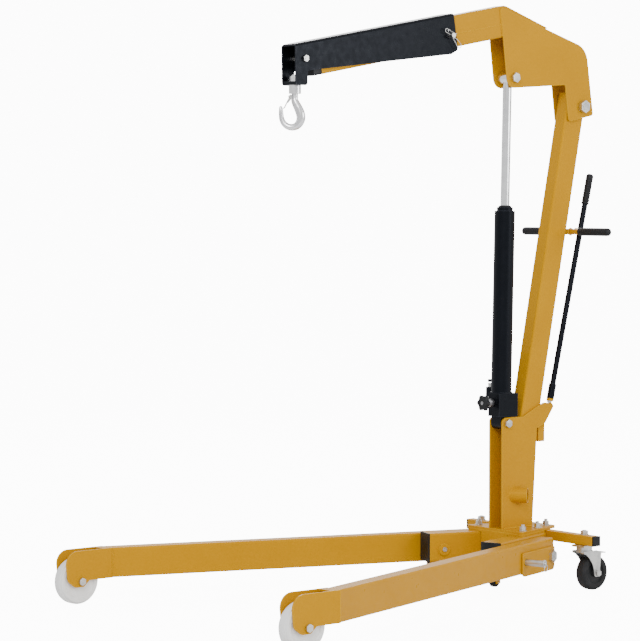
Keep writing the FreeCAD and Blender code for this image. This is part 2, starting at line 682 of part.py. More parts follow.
def fork(word, side):
    """Cranked fork: two cheeks parallel to the centre line, a back plate and a short top web."""
    low, top = "leg_low - wheel_dia / 2", "leg_low + leg_high - wheel_dia / 2"
    points = [("fork_long", low), ("26", low), ("8", "-15"), ("-20", "-15"), ("-43", "2"), ("-52", top),
              ("fork_long", top)]
    pieces = []
    for number, inner in enumerate(("fork_wide / 2 - fork_thick", "-fork_wide / 2")):
        cheek = padded("fork_cheek_%s_%d" % (word, number), points, "YZ_Plane", "fork_thick",
                       [((5,), "36"), ((2,), "8"), ((3, 4), "13")])
        shift(cheek, inner)
        pieces.append(cheek)
    inside = "fork_wide / 2 - fork_thick"
    pieces.append(box("fork_back_" + word, ("2 * (%s)" % inside, "6", top + " - (%s)" % low),
                      ("-(%s)" % inside, "fork_long - 6", low)))
    pieces.append(box("fork_web_" + word, ("2 * (%s)" % inside, "24", "5"),
                      ("-(%s)" % inside, "fork_long - 28", top + " - 5")))
    hole = cylinder("fork_hole_" + word, "wheel_bolt / 2 + fit", "80", ("-40", "0", "0"), "x")
    whole = cut("fork_" + word, fuse("fork_whole_" + word, *pieces), hole)
    shift(whole, "%d * track_half" % side, "base_back - wheel_ahead", "wheel_dia / 2")
    return node(whole, "fork_" + word)


def front_axle(word, side):
    """Axle bolt, its head outside and its nut inside the fork."""
    half = "fork_wide / 2"
    shank = out_cylinder("front_shank_" + word, "wheel_bolt / 2", side, "-%s - 8" % half, half)
    head = out_hexagon("front_head_" + word, "wheel_bolt * 1.6", side, half, half + " + 7")
    nut = out_hexagon("front_nut_" + word, "wheel_bolt * 1.6", side, "-%s - 7" % half, "-" + half)
    axle = fuse("front_bolt_" + word, shank, head, nut)
    shift(axle, "%d * track_half" % side, "base_back - wheel_ahead", "wheel_dia / 2")
    return node(axle, "front_axle_" + word)


def front_wheel(word, side):
    """Nylon wheel with a raised tread."""
    here = ("base_back - wheel_ahead", "wheel_dia / 2")
    middle = "%d * track_half" % side
    tread = cylinder("tread_" + word, "wheel_dia / 2", "wheel_wide - 12", (middle + " - wheel_wide / 2 + 6",) + here, "x")
    rim = cylinder("rim_" + word, "wheel_dia / 2 - 4", "wheel_wide", (middle + " - wheel_wide / 2",) + here, "x")
    hub = cylinder("hub_" + word, "14", "wheel_wide + 4", (middle + " - wheel_wide / 2 - 2",) + here, "x")
    bore = cylinder("wheel_bore_" + word, "wheel_bolt / 2 + fit", "80", (middle + " - 40",) + here, "x")
    return node(cut("wheel_" + word, fuse("wheel_whole_" + word, tread, rim, hub), bore), "front_wheel_" + word)


def leg_pin(word, side):
    """Lock pin, drawn out of the leg, with a cross clip and a head."""
    tip, end = LEG_FACE + " + 1", BRACKET_OUT + " + lock_reach"
    shaft = out_cylinder("leg_pin_shaft_" + word, "lock_pin / 2", side, tip, end, "-lock_ahead")
    head = out_cylinder("leg_pin_head_" + word, "lock_pin / 2 + 2", side, end + " - 3", end, "-lock_ahead")
    return node(to_leg(fuse("leg_pin_" + word, shaft, head), side), "leg_pin_" + word)


# ---------------------------------------------------------------- castors

def to_castor(obj, side):
    shift(obj, "%d * castor_x" % side, "base_back + beam_back", "0")
    return obj


YOKE_TOP = "arm_low + arm_high + deck_thick - beam_size - 15 - move_gap"


def castor_yoke(word, side):
    """Swivelling fork with its axle."""
    points = [("-24", YOKE_TOP), ("27", YOKE_TOP), ("castor_trail + 15", YOKE_TOP + " - 9"), ("castor_trail + 10", "60"),
              ("castor_trail + 10", "39"), ("castor_trail - 11", "39"), ("castor_trail - 14", "61"),
              ("castor_trail - 18", "74"), ("castor_trail - 31", "92"), ("-13", "102"), ("-24", YOKE_TOP + " - 6")]
    disc = cylinder("yoke_disc_" + word, "24", "4", ("0", "0", YOKE_TOP + " - 4"))
    pieces = [disc]
    for number, inner in enumerate(("castor_wide / 2 + 3", "-castor_wide / 2 - 6")):
        cheek = padded("yoke_cheek_%s_%d" % (word, number), points, "YZ_Plane", "3", [((4, 5), "8")])
        shift(cheek, inner)
        pieces.append(cheek)
    pieces.append(bolt("yoke_axle_" + word, "10", "castor_wide + 12",
                       ("-castor_wide / 2 - 6", "castor_trail", "castor_dia / 2")))
    hole = cylinder("yoke_hole_" + word, "kingpin / 2 + fit", "20", ("0", "0", YOKE_TOP + " - 10"))
    return node(to_castor(cut("yoke_" + word, fuse("yoke_whole_" + word, *pieces), hole), side),
                "castor_yoke_" + word)


def castor_wheel(word, side):
    here = ("castor_trail", "castor_dia / 2")
    tyre = cylinder("tyre_" + word, "castor_dia / 2", "castor_wide", ("-castor_wide / 2",) + here, "x")
    hub = cylinder("castor_hub_" + word, "11", "castor_wide + 4", ("-castor_wide / 2 - 2",) + here, "x")
    bore = cylinder("castor_bore_" + word, "5 + fit", "60", ("-30",) + here, "x")
    return node(to_castor(cut("castor_disc_" + word, fuse("castor_whole_" + word, tyre, hub), bore), side),
                "castor_wheel_" + word)


def castor_brake(word, side):
    """Foot pedal that presses on the tyre."""
    top = YOKE_TOP + " - 5"
    points = [("26", top), ("72", top + " - 4"), ("72", top + " - 7"), ("54", top + " - 6"), ("46", top + " - 8"),
              ("26", top + " - 5")]
    pedal = padded("pedal_" + word, points, "YZ_Plane", "24", both=True)
    pin = cylinder("pedal_pin_" + word, "3", "26", ("-13", "27", "105"), "x")
    return node(to_castor(fuse("pedal_whole_" + word, pedal, pin), side), "castor_brake_" + word)


# ---------------------------------------------------------------- boom

TUBE_MIDDLE = "boom_low + boom_high / 2"


def boom_tube():
    """Boom tube with its row of pin holes, cut slanting at the rear."""
    tube = box_tube("boom_body", "boom_wide", "boom_high", "boom_wall", "boom_front - cap_long - 60")
    shift(tube, "0", "-60", TUBE_MIDDLE)
    holes = [cylinder("boom_hole_%d" % i, "pin_dia / 2 + 0.3", "80", ("-40", "-pin_ahead - %d * hole_pitch" % i, "pin_up"),
                      "x") for i in range(7)]
    wedge = doc.addObject("Part::Box", "boom_wedge")
    bind(wedge, Length="100", Width="500", Height="300")
    turned(wedge, V(1, 0, 0), "-slant")
    shift(wedge, "-50", "-slant_front - 60 * cos(slant)", "boom_low + boom_high + 60 * sin(slant)")
    return node(to_boom(cut("boom_cut", tube, wedge, *holes)), "boom_tube")


def boom_cap():
    block = padded("cap_block", [("-boom_wide / 2", "-boom_high / 2"), ("boom_wide / 2", "-boom_high / 2"),
                                 ("boom_wide / 2", "boom_high / 2"), ("-boom_wide / 2", "boom_high / 2")],
                   "XZ_Plane", "cap_long", [((0, 1, 2, 3), "6")])
    shift(block, "0", "-boom_front + cap_long", TUBE_MIDDLE)
    return node(to_boom(group("boom_cap_placed", block)), "boom_cap")


def boom_plate(word, side):
    """Big side plate from the boom tube down to the pivot and the ram pin."""
    points = [("-276", "97"), ("-263", "boom_low + boom_high - 2"), ("45", "160"), ("38", "-31"), ("-60", "-33"),
              ("-55", "71")]
    plate = padded("side_outline_" + word, points, "YZ_Plane", "plate_thick",
                   [((0,), "30"), ((1,), "6"), ((2,), "56"), ((3, 4), "8")])
    shift(plate, mirrored(side, "boom_wide / 2", "boom_wide / 2 + plate_thick"))
    holes = [out_cylinder("side_pivot_" + word, "pivot_bolt / 2 + fit", side, "0", "60"),
             out_cylinder("side_eye_" + word, "ram_pin / 2 + fit", side, "0", "60", "-eye_ahead", "eye_up")]
    return node(to_boom(cut("side_plate_" + word, plate, *holes)), "boom_plate_" + word)


def ram_top_bolt():
    """Head and nut of the ram's top bolt, with the stubs of its shank in the plates."""
    ends = []
    face = "boom_wide / 2 + plate_thick"
    for word, side in SIDES:
        stub = out_cylinder("top_stub_" + word, "ram_pin / 2", side, "boom_wide / 2 + 0.2", face, "-eye_ahead", "eye_up")
        head = out_hexagon("top_head_" + word, "ram_pin * 1.55", side, face, face + " + 10", "-eye_ahead", "eye_up")
        ends.append(fuse("top_end_" + word, stub, head))
    return node(to_boom(group("top_bolt_pair", *ends)), "ram_top_bolt")


# ---------------------------------------------------------------- sleeve and hook

SLEEVE_HALF = "(boom_wide / 2 + sleeve_gap + sleeve_wall)"
SLEEVE_TOP = "boom_low + boom_high + sleeve_gap + sleeve_wall + 1"


def boom_sleeve():
    """Inverted U that slides over the boom, with the hook cheeks and their bridge."""
    points = [("-sleeve_front", SLEEVE_TOP), ("-sleeve_front - 18", "boom_low - 13"), ("-sleeve_front + 20", "boom_low - 20"),
              ("-sleeve_front + 27", "boom_low + 17"), ("-sleeve_front + 45", "boom_low + 17"),
              ("-sleeve_rear - 28", "boom_low - 16"), ("-sleeve_rear - 2", "boom_low - 8"), ("-sleeve_rear", SLEEVE_TOP)]
    shell = padded("sleeve_shell", points, "YZ_Plane", "2 * " + SLEEVE_HALF, [((0, 1, 2), "8"), ((5, 6), "6")], both=True)
    channel = box("sleeve_channel", ("boom_wide + 2 * sleeve_gap", "1000", SLEEVE_TOP + " - sleeve_wall - 1"),
                  ("-boom_wide / 2 - sleeve_gap", "-1200", "0"))
    bolt_hole = cylinder("sleeve_bolt_hole", "5 + fit", "80", ("-40", "-974", "287"), "x")
    pin_hole = cylinder("sleeve_pin_hole", "pin_dia / 2 + fit", "80", ("-40", "-pin_ahead", "pin_up"), "x")
    bent = to_boom(cut("sleeve_bent", shell, channel, bolt_hole, pin_hole))
    bridge = box("hook_bridge", ("boom_wide + 2 * sleeve_gap", "34", "8"),
                 ("-boom_wide / 2 - sleeve_gap", "base_back - stem_ahead - 18", "bridge_high"))
    stem_hole = cylinder("stem_hole", "stem_dia / 2 + fit", "60", ("0", "base_back - stem_ahead", "bridge_high - 20"))
    return node(cut("sleeve", fuse("sleeve_whole", bent, bridge), stem_hole), "boom_sleeve")


def sleeve_pin():
    """Locking pin through sleeve and boom, with its ring end."""
    shaft = cylinder("sleeve_pin_shaft", "pin_dia / 2", "2 * %s + 24" % SLEEVE_HALF,
                     ("-%s - 4" % SLEEVE_HALF, "-pin_ahead", "pin_up"), "x")
    head = cylinder("sleeve_pin_head", "pin_dia / 2 + 3", "4", ("-%s - 8" % SLEEVE_HALF, "-pin_ahead", "pin_up"), "x")
    return node(to_boom(fuse("sleeve_pin_whole", shaft, head)), "sleeve_pin")


def hook_bolt():
    start = ("-" + SLEEVE_HALF, "-974", "287")
    return node(to_boom(group("hook_bolt_placed", bolt("hook_bolt_set", "10", "2 * " + SLEEVE_HALF, start))), "hook_bolt")


def hook():
    """Stem and round bowl of the hook; the mouth faces the front left."""
    stem = cylinder("hook_stem", "stem_dia / 2", "bridge_high + 26 - hook_mid - hook_round",
                    ("0", "0", "hook_mid + hook_round"))
    bowl = doc.addObject("Part::Torus", "hook_bowl")
    bind(bowl, Radius1="hook_round", Radius2="hook_bar / 2", Angle3="270")
    bowl.Placement = FreeCAD.Placement(V(0, 0, 0), FreeCAD.Rotation(V(1, 0, 0), 90) * FreeCAD.Rotation(V(0, 0, 1), 180))
    shift(bowl, "-hook_off", "0", "hook_mid")
    tips = []
    for word, angle in (("tip", "180"), ("root", "90")):
        ball = doc.addObject("Part::Sphere", "hook_" + word)
        bind(ball, Radius="hook_bar / 2")
        shift(ball, "hook_round * cos(%s) - hook_off" % angle, "0", "hook_mid + hook_round * sin(%s)" % angle)
        tips.append(ball)
    return node(to_hook(fuse("hook_whole", stem, bowl, *tips)), "hook")


def to_hook(obj):
    turned(obj, V(0, 0, 1), "45")
    shift(obj, "0", "base_back - stem_ahead", "0")
    return obj


def hook_collar():
    """Collar under the bridge and nut above it; both are fixed on the hook's stem."""
    collar = cylinder("collar_disc", "stem_dia", "23", ("0", "0", "bridge_high - 23 - move_gap"))
    nut = hexagon("stem_nut", "28", "14", ("0", "0", "bridge_high + 8 + move_gap"))
    hole = cylinder("collar_hole", "stem_dia / 2", "100", ("0", "0", "bridge_high - 50"))
    return node(to_hook(cut("collar", group("collar_pair", collar, nut), hole)), "hook_collar_and_nut")


def hook_latch():
    plate = box("latch_plate", ("3", "12", "36"), ("-1.5", "-6", "-36"))
    rivet = cylinder("latch_rivet", "2", "16", ("0", "-8", "0"), "y")
    tilted = group("latch_tilted", fuse("latch_whole", plate, rivet))
    turned(tilted, V(0, 1, 0), "latch_tilt")
    shift(tilted, "-latch_out", "0", "hook_mid + latch_up")
    return node(to_hook(group("latch_placed", tilted)), "hook_latch")


# ---------------------------------------------------------------- ram and pump

VALVE_HIGH = "block_low + 38"
LEVER_HIGH = "block_low + block_high + 32"


def ram_cylinder():
    """Cylinder with its gland, bored for the piston and the rod."""
    low = "block_low + block_high"
    barrel = cylinder("barrel", "cylinder_dia / 2", "cylinder_top - (%s)" % low, ("0", "0", low))
    gland = cylinder("gland", "cylinder_dia / 2 - 6", "10", ("0", "0", "cylinder_top"))
    bore = cylinder("ram_bore", "cylinder_bore / 2", "cylinder_top - (%s) - 20" % low, ("0", "0", low + " + 10"))
    rod_hole = cylinder("rod_hole", "rod_dia / 2 + fit", "60", ("0", "0", "cylinder_top - 30"))
    return node(to_ram(cut("cylinder_shell", fuse("cylinder_outer", barrel, gland), bore, rod_hole)), "ram_cylinder")


def pump_block():
    """Cast block: the foot eye, the valve block with its filler plug, the pump barrel and the lever lug."""
    foot_half = "(mast_wide / 2 - 3)"
    top = "block_low + block_high"
    foot = cylinder("foot_eye", "18", "2 * " + foot_half, ("-" + foot_half, "0", "0"), "x")
    neck = box("foot_neck", ("2 * " + foot_half, "36", "block_low"), ("-" + foot_half, "-18", "0"))
    block = box("block_body", ("45", "70", "block_high"), ("-16", "-33", "block_low"))
    plug = cylinder("block_plug", "8", "8", ("0", "37", "block_low + 32"), "y")
    barrel = cylinder("pump_barrel", "13", "26", ("-pump_out", "pump_behind", top + " - 12"))
    shelf = box("pump_shelf", ("46", "46", "24"), ("-58", "-4", top + " - 34"))
    lug = box("pump_lug", ("8", "12", "72"), ("-58", "lever_behind - 6", top + " - 34"))
    bores = [cylinder("pump_bore", "7 + fit", "60", ("-pump_out", "pump_behind", top + " - 24")),
             cylinder("lug_hole", "4", "40", ("-70", "lever_behind", LEVER_HIGH), "x"),
             cylinder("valve_bore", "6 + fit", "30", ("0", "-40", VALVE_HIGH), "y"),
             cylinder("foot_hole", "ram_foot_pin / 2 + fit", "80", ("-40", "0", "0"), "x")]
    return node(to_ram(cut("block", fuse("block_whole", foot, neck, block, plug, barrel, shelf, lug), *bores)), "pump_block")


def release_knob():
    """Threaded stem and lobed knob of the release valve."""
    stem = cylinder("knob_stem", "6", "52", ("0", "-64", VALVE_HIGH), "y")
    disc = cylinder("knob_disc", "20", "12", ("0", "-72", VALVE_HIGH), "y")
    lobes = [cylinder("knob_lobe_%d" % i, "6", "12",
                      ("19 * cos(%d)" % (i * 60), "-72", VALVE_HIGH + " + 19 * sin(%d)" % (i * 60)), "y") for i in range(6)]
    return node(to_ram(fuse("knob", stem, disc, *lobes)), "release_knob")


def pump_plunger():
    rod = cylinder("plunger_rod", "7", "40", ("-pump_out", "pump_behind", "block_low + block_high - 20"))
    head = cylinder("plunger_head", "7.5", "5", ("-pump_out", "pump_behind", "block_low + block_high + 20"))
    return node(to_ram(fuse("plunger", rod, head)), "pump_plunger")


def pump_lever():
    """Socket that takes the pump handle, with its cross pin and the tail over the plunger."""
    hub = cylinder("lever_hub", "9", "10", ("-49.5", "0", "0"), "x")
    pin = cylinder("lever_pin", "4 - fit", "20", ("-60", "0", "0"), "x")
    tube = cylinder("lever_tube", "13", "70", ("-pump_out", "2", "26"))
    neck = box("lever_neck", ("10", "10", "24"), ("-49.5", "-3", "5"))
    tail = box("lever_tail", ("10", "38", "8"), ("-49.5", "-42", "-4"))
    bore = cylinder("lever_bore", "10.8", "66", ("-pump_out", "2", "32"))
    whole = cut("lever", fuse("lever_whole", hub, pin, tube, neck, tail), bore)
    shift(whole, "0", "lever_behind", LEVER_HIGH)
    return node(to_ram(group("lever_placed", whole)), "pump_lever")


def ram_rod():
    """Chrome rod, its piston inside the cylinder and the plain eye between the boom plates."""
    bottom = "330"
    rod = cylinder("rod_bar", "rod_dia / 2", "ram_long - 12 - %s" % bottom, ("0", "0", bottom))
    eye = cylinder("rod_eye", "17", "boom_wide - 8", ("-boom_wide / 2 + 4", "0", "ram_long"), "x")
    node(to_ram(fuse("rod", rod, eye)), "ram_rod")
    piston = cylinder("piston_disc", "cylinder_bore / 2 - fit", "24", ("0", "0", bottom + " - 24"))
    return node(to_ram(group("piston", piston)), "ram_piston")


# ---------------------------------------------------------------- build

def build_all():
    end_caps()
    base_deck()
    foot_flange()
    foot_bolts()
    rear_beam()
    leg_pivot_bolts()
    castor_heads()
    mast_tube()
    pivot_bush()
    boom_pivot_bolt()
    ram_lower_pin()
    handle_rest()
    side_socket()
    push_bar()
    push_grips()
    handle_holders()
    pump_handle()
    handle_grip()
    boom_tube()
    boom_cap()
    ram_top_bolt()
    boom_sleeve()
    sleeve_pin()
    hook_bolt()
    hook()
    hook_collar()
    hook_latch()
    ram_cylinder()
    pump_block()
    release_knob()
    pump_plunger()
    pump_lever()
    ram_rod()
    for word, side in SIDES:
        for make in (arm, storage_wheel, leg_bracket, post_plate, leg, fork, front_axle, front_wheel, leg_pin,
                     castor_yoke, castor_wheel, castor_brake, boom_plate):
            make(word, side)


build_all()
doc.recompute()

for obj in doc.Objects:
    if "Invalid" in obj.State or "Error" in obj.State:
        raise RuntimeError("%s did not build: %s" % (obj.Name, obj.State))
os.makedirs("parts", exist_ok=True)
for obj in NODES:
    if obj.Shape.isNull() or not obj.Shape.isValid():
        raise RuntimeError("%s has a bad shape" % obj.Label)
    obj.Shape.exportStep("parts/%s.step" % obj.Label)
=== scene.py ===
import json
import math
import bpy
import bmesh
from mathutils import Matrix, Vector


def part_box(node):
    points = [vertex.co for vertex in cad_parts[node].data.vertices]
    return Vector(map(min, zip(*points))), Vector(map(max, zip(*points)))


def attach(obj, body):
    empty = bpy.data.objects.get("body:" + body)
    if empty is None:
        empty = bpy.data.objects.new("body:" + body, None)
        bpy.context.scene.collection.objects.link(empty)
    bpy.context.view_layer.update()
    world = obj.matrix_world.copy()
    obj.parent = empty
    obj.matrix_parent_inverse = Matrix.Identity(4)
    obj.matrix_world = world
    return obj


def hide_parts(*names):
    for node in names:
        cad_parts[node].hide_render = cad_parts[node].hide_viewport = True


# Folding engine hoist crane. Metres, +Z up, the boom and the hook point to -Y.

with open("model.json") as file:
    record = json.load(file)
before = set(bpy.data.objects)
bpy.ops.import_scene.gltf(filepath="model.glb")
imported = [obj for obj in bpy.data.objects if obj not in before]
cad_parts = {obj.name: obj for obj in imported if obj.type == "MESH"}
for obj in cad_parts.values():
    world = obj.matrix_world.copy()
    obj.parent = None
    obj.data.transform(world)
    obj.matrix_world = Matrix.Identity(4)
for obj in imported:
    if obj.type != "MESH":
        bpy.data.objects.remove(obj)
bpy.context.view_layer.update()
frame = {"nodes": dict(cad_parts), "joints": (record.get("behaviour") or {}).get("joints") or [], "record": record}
NODE = frame["nodes"]
JOINT = {j["name"]: j for j in frame["joints"]}
SIDES = (("left", -1), ("right", 1))
WORDS = ("left", "right")
MM = 0.001
MERGE = 0.00002          # vertices nearer than this are one
HOOK_TURN = math.radians(45)
LATCH_TILT = math.radians(26)
GRIP_BORE = 0.0081


# ---------------------------------------------------------------- places taken from the frame

def joint_place(name):
    return Vector(JOINT[name]["pos_m"])


def tilt_of(name):
    """Angle about X of a slide that runs along a local +Z."""
    axis = JOINT[name]["axis"]
    return math.atan2(-axis[1], axis[2])


def local(origin, about_x=0.0, about_z=0.0):
    turn = Matrix.Rotation(about_z, 4, "Z") @ Matrix.Rotation(about_x, 4, "X")
    return Matrix.Translation(origin) @ turn


BOOM_AXIS = JOINT["sleeve_slide"]["axis"]
BOOM = local(joint_place("boom_pivot"), about_x=math.atan2(-BOOM_AXIS[2], -BOOM_AXIS[1]))
RAM = local(joint_place("ram_tilt"), about_x=tilt_of("rod_slide"))
HOOK = local(joint_place("hook_swivel"), about_z=HOOK_TURN)
MAST_X = 0.022           # half the width of the mast tube
BASE_Y = joint_place("leg_fold_left").y + 0.008      # where the studs of the foot flange are measured from


def leg_frame(word, side):
    axis = JOINT["leg_pin_pull_" + word]["axis"]
    return local(joint_place("leg_fold_" + word), about_z=math.atan2(axis[1], axis[0] * side) * side)


# ---------------------------------------------------------------- materials

class Shader:
    """A node material under construction."""

    def __init__(self, name, colour, roughness, metallic=0.0):
        self.material = bpy.data.materials.new(name)
        self.material.use_nodes = True
        self.tree = self.material.node_tree
        self.bsdf = self.tree.nodes["Principled BSDF"]
        self.bsdf.inputs["Base Color"].default_value = (*colour, 1)
        self.bsdf.inputs["Roughness"].default_value = roughness
        self.bsdf.inputs["Metallic"].default_value = metallic
        self.where = self.add("ShaderNodeTexCoord").outputs["Object"]

    def add(self, kind, **settings):
        made = self.tree.nodes.new(kind)
        for name, value in settings.items():
            setattr(made, name, value)
        return made

    def link(self, source, target):
        self.tree.links.new(source, target)

    def noise(self, scale, detail=3.0, stretch=None):
        node = self.add("ShaderNodeTexNoise")
        node.inputs["Scale"].default_value = scale
        node.inputs["Detail"].default_value = detail
        source = self.where
        if stretch:
            mapping = self.add("ShaderNodeMapping")
            mapping.inputs["Scale"].default_value = stretch
            self.link(source, mapping.inputs["Vector"])
            source = mapping.outputs["Vector"]
        self.link(source, node.inputs["Vector"])
        return node.outputs["Fac"]

    def ramp(self, value, *stops):
        node = self.add("ShaderNodeValToRGB")
        ramp = node.color_ramp
        while len(ramp.elements) < len(stops):
            ramp.elements.new(0.5)
        for element, (place, colour) in zip(ramp.elements, stops):
            element.position = place
            element.color = (*colour, 1) if len(colour) == 3 else (colour[0],) * 3 + (1,)
        self.link(value, node.inputs["Fac"])
        return node.outputs["Color"]

    def mix(self, factor, first, second):
        node = self.add("ShaderNodeMix", data_type="RGBA")
        self.link(factor, node.inputs["Factor"])
        for socket, value in ((node.inputs[6], first), (node.inputs[7], second)):
            if isinstance(value, tuple):
                socket.default_value = (*value, 1)
            else:
                self.link(value, socket)
        return node.outputs[2]

    def edge(self, radius):
        """White on convex and concave edges, black on flat faces."""
        bevel = self.add("ShaderNodeBevel", samples=6)
        bevel.inputs["Radius"].default_value = radius
        plain = self.add("ShaderNodeNewGeometry")
        dot = self.add("ShaderNodeVectorMath", operation="DOT_PRODUCT")
        self.link(bevel.outputs["Normal"], dot.inputs[0])
        self.link(plain.outputs["Normal"], dot.inputs[1])
        return self.ramp(dot.outputs["Value"], (0.965, (1.0,)), (0.998, (0.0,)))

    def colour(self, value):
        self.link(value, self.bsdf.inputs["Base Color"])

    def rough(self, value):
        self.link(value, self.bsdf.inputs["Roughness"])

    def bump(self, height, distance, strength=1.0):
        node = self.add("ShaderNodeBump")
        node.inputs["Distance"].default_value = distance
        node.inputs["Strength"].default_value = strength
        self.link(height, node.inputs["Height"])
        self.link(node.outputs["Normal"], self.bsdf.inputs["Normal"])


def powder_coat(name, colour, lighter, darker, sheen, shine, grain):
    made = Shader(name, colour, 0.34)
    patches = made.ramp(made.noise(7.0, 4.0), (0.3, darker), (0.7, colour))
    worn = made.edge(0.0022)
    made.colour(made.mix(worn, patches, lighter))
    made.rough(made.ramp(made.noise(60.0), (0.3, (0.27,)), (0.7, (0.42,))))
    made.bump(made.noise(420.0, 2.0), 0.0002, grain)
    made.bsdf.inputs["Specular Tint"].default_value = (*sheen, 1)
    made.bsdf.inputs["Specular IOR Level"].default_value = shine
    return made.material


def steel(name, colour, dark, roughness, stretch):
    made = Shader(name, colour, roughness, 1.0)
    grain = made.noise(160.0, 4.0, stretch)
    stain = made.noise(45.0, 3.0)
    made.colour(made.mix(made.ramp(stain, (0.42, (0.0,)), (0.72, (0.8,))), colour, dark))
    made.rough(made.ramp(grain, (0.3, (roughness - 0.07,)), (0.7, (roughness + 0.09,))))
    made.bump(grain, 0.00012, 0.3)
    return made.material


def moulded(name, colour, light, roughness, scale, depth, shine=0.22):
    made = Shader(name, colour, roughness)
    made.colour(made.mix(made.edge(0.0012), made.ramp(made.noise(30.0), (0.3, colour), (0.75, light)), light))
    made.rough(made.ramp(made.noise(90.0), (0.3, (roughness - 0.06,)), (0.7, (roughness + 0.08,))))
    made.bump(made.noise(scale, 2.0), depth, 0.6)
    made.bsdf.inputs["Specular IOR Level"].default_value = shine
    return made.material


ORANGE = powder_coat("orange_powder_coat", (0.52, 0.245, 0.0), (0.66, 0.36, 0.008), (0.485, 0.225, 0.0),
                     (1.0, 0.56, 0.05), 0.3, 0.25)
BLACK = powder_coat("black_powder_coat", (0.0022, 0.0027, 0.0040), (0.020, 0.022, 0.029),
                    (0.0016, 0.0020, 0.0031), (0.62, 0.68, 0.82), 0.17, 0.12)
PLASTIC = moulded("black_plastic", (0.0042, 0.0045, 0.0055), (0.016, 0.017, 0.019), 0.42, 900.0, 0.0002)
GRIP = moulded("black_grip", (0.0038, 0.0042, 0.0052), (0.014, 0.015, 0.017), 0.5, 700.0, 0.0003)
TYRE = moulded("black_rubber", (0.0050, 0.0052, 0.0058), (0.022, 0.022, 0.024), 0.6, 600.0, 0.0004)
NYLON = moulded("white_nylon", (0.86, 0.86, 0.84), (0.92, 0.92, 0.91), 0.34, 500.0, 0.0002, 0.5)
ZINC = steel("zinc_plate", (0.66, 0.66, 0.64), (0.42, 0.42, 0.42), 0.33, (1, 1, 1))
DULL = steel("dull_steel", (0.34, 0.34, 0.35), (0.16, 0.16, 0.17), 0.40, (1, 1, 1))
HOOK_STEEL = steel("bright_hook", (0.90, 0.90, 0.91), (0.7, 0.7, 0.72), 0.24, (1, 1, 0.3))
CHROME = steel("hard_chrome", (0.90, 0.91, 0.92), (0.75, 0.75, 0.77), 0.14, (1, 1, 0.03))
FINISH = {"orange_paint": ORANGE, "black_paint": BLACK, "black_plastic": PLASTIC, "black_grip": GRIP,
          "black_tyre": TYRE, "white_nylon": NYLON, "zinc": ZINC, "hook_steel": HOOK_STEEL, "chrome": CHROME}
SLOT_OF = {material.name: slot for slot, material in FINISH.items()}
SLOT_OF[DULL.name] = "zinc"


# ---------------------------------------------------------------- meshes

def smooth(mesh, degrees=32):
    for polygon in mesh.polygons:
        polygon.use_smooth = True
    mesh.set_sharp_from_angle(angle=math.radians(degrees))


def rounded(obj, width, segments=2, degrees=32):
    """Round the sharp edges by a bevel modifier."""
    bevel = obj.modifiers.new("round", "BEVEL")
    bevel.width, bevel.segments = width, segments
    bevel.limit_method, bevel.angle_limit = "ANGLE", math.radians(degrees)
    bevel.harden_normals = True
    bevel.use_clamp_overlap = True


def piece(name, mesh, material, body, bevel=0.0, segments=2, degrees=32):
    smooth(mesh, degrees)
    mesh.materials.append(material)
    obj = bpy.data.objects.new(name, mesh)
    bpy.context.scene.collection.objects.link(obj)
    if bevel:
        rounded(obj, bevel, segments, degrees)
    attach(obj, body)
    return obj


def from_bmesh(name, made):
    bmesh.ops.recalc_face_normals(made, faces=made.faces)
    mesh = bpy.data.meshes.new(name)
    made.to_mesh(mesh)
    made.free()
    return mesh


def merged(name, meshes):
    """One mesh from several."""
    made = bmesh.new()
    for mesh in meshes:
        made.from_mesh(mesh)
        bpy.data.meshes.remove(mesh)
    return from_bmesh(name, made)


def lathe(profile, place, steps=64):
    """Turn (radius, height) points about the local Z of a matrix."""
    made = bmesh.new()
    rings = []
    for radius, height in profile:
        if radius < 1e-6:
            rings.append([made.verts.new(place @ Vector((0, 0, height)))])
            continue
        rings.append([made.verts.new(place @ Vector((radius * math.cos(a), radius * math.sin(a), height)))
                      for a in (2 * math.pi * i / steps for i in range(steps))])
    closed = len(rings[0]) > 1 and profile[0] == profile[-1]
    if closed:
        for vert in rings.pop():
            made.verts.remove(vert)
        rings.append(rings[0])
    for low, high in zip(rings, rings[1:]):
        for i in range(steps):
            j = (i + 1) % steps
            corners = [low[i % len(low)], low[j % len(low)], high[j % len(high)], high[i % len(high)]]
            corners = list(dict.fromkeys(corners))
            if len(corners) > 2:
                made.faces.new(corners)
    return from_bmesh("lathe", made)


def prism(points, low, high, place):
    """Extrude local XY points from z = low to z = high."""
    made = bmesh.new()
    bottom = [made.verts.new(place @ Vector((x, y, low))) for x, y in points]
    top = [made.verts.new(place @ Vector((x, y, high))) for x, y in points]
    made.faces.new(bottom)
    made.faces.new(top)
    count = len(points)
    for i in range(count):
        j = (i + 1) % count
        made.faces.new((bottom[i], bottom[j], top[j], top[i]))
    return from_bmesh("prism", made)


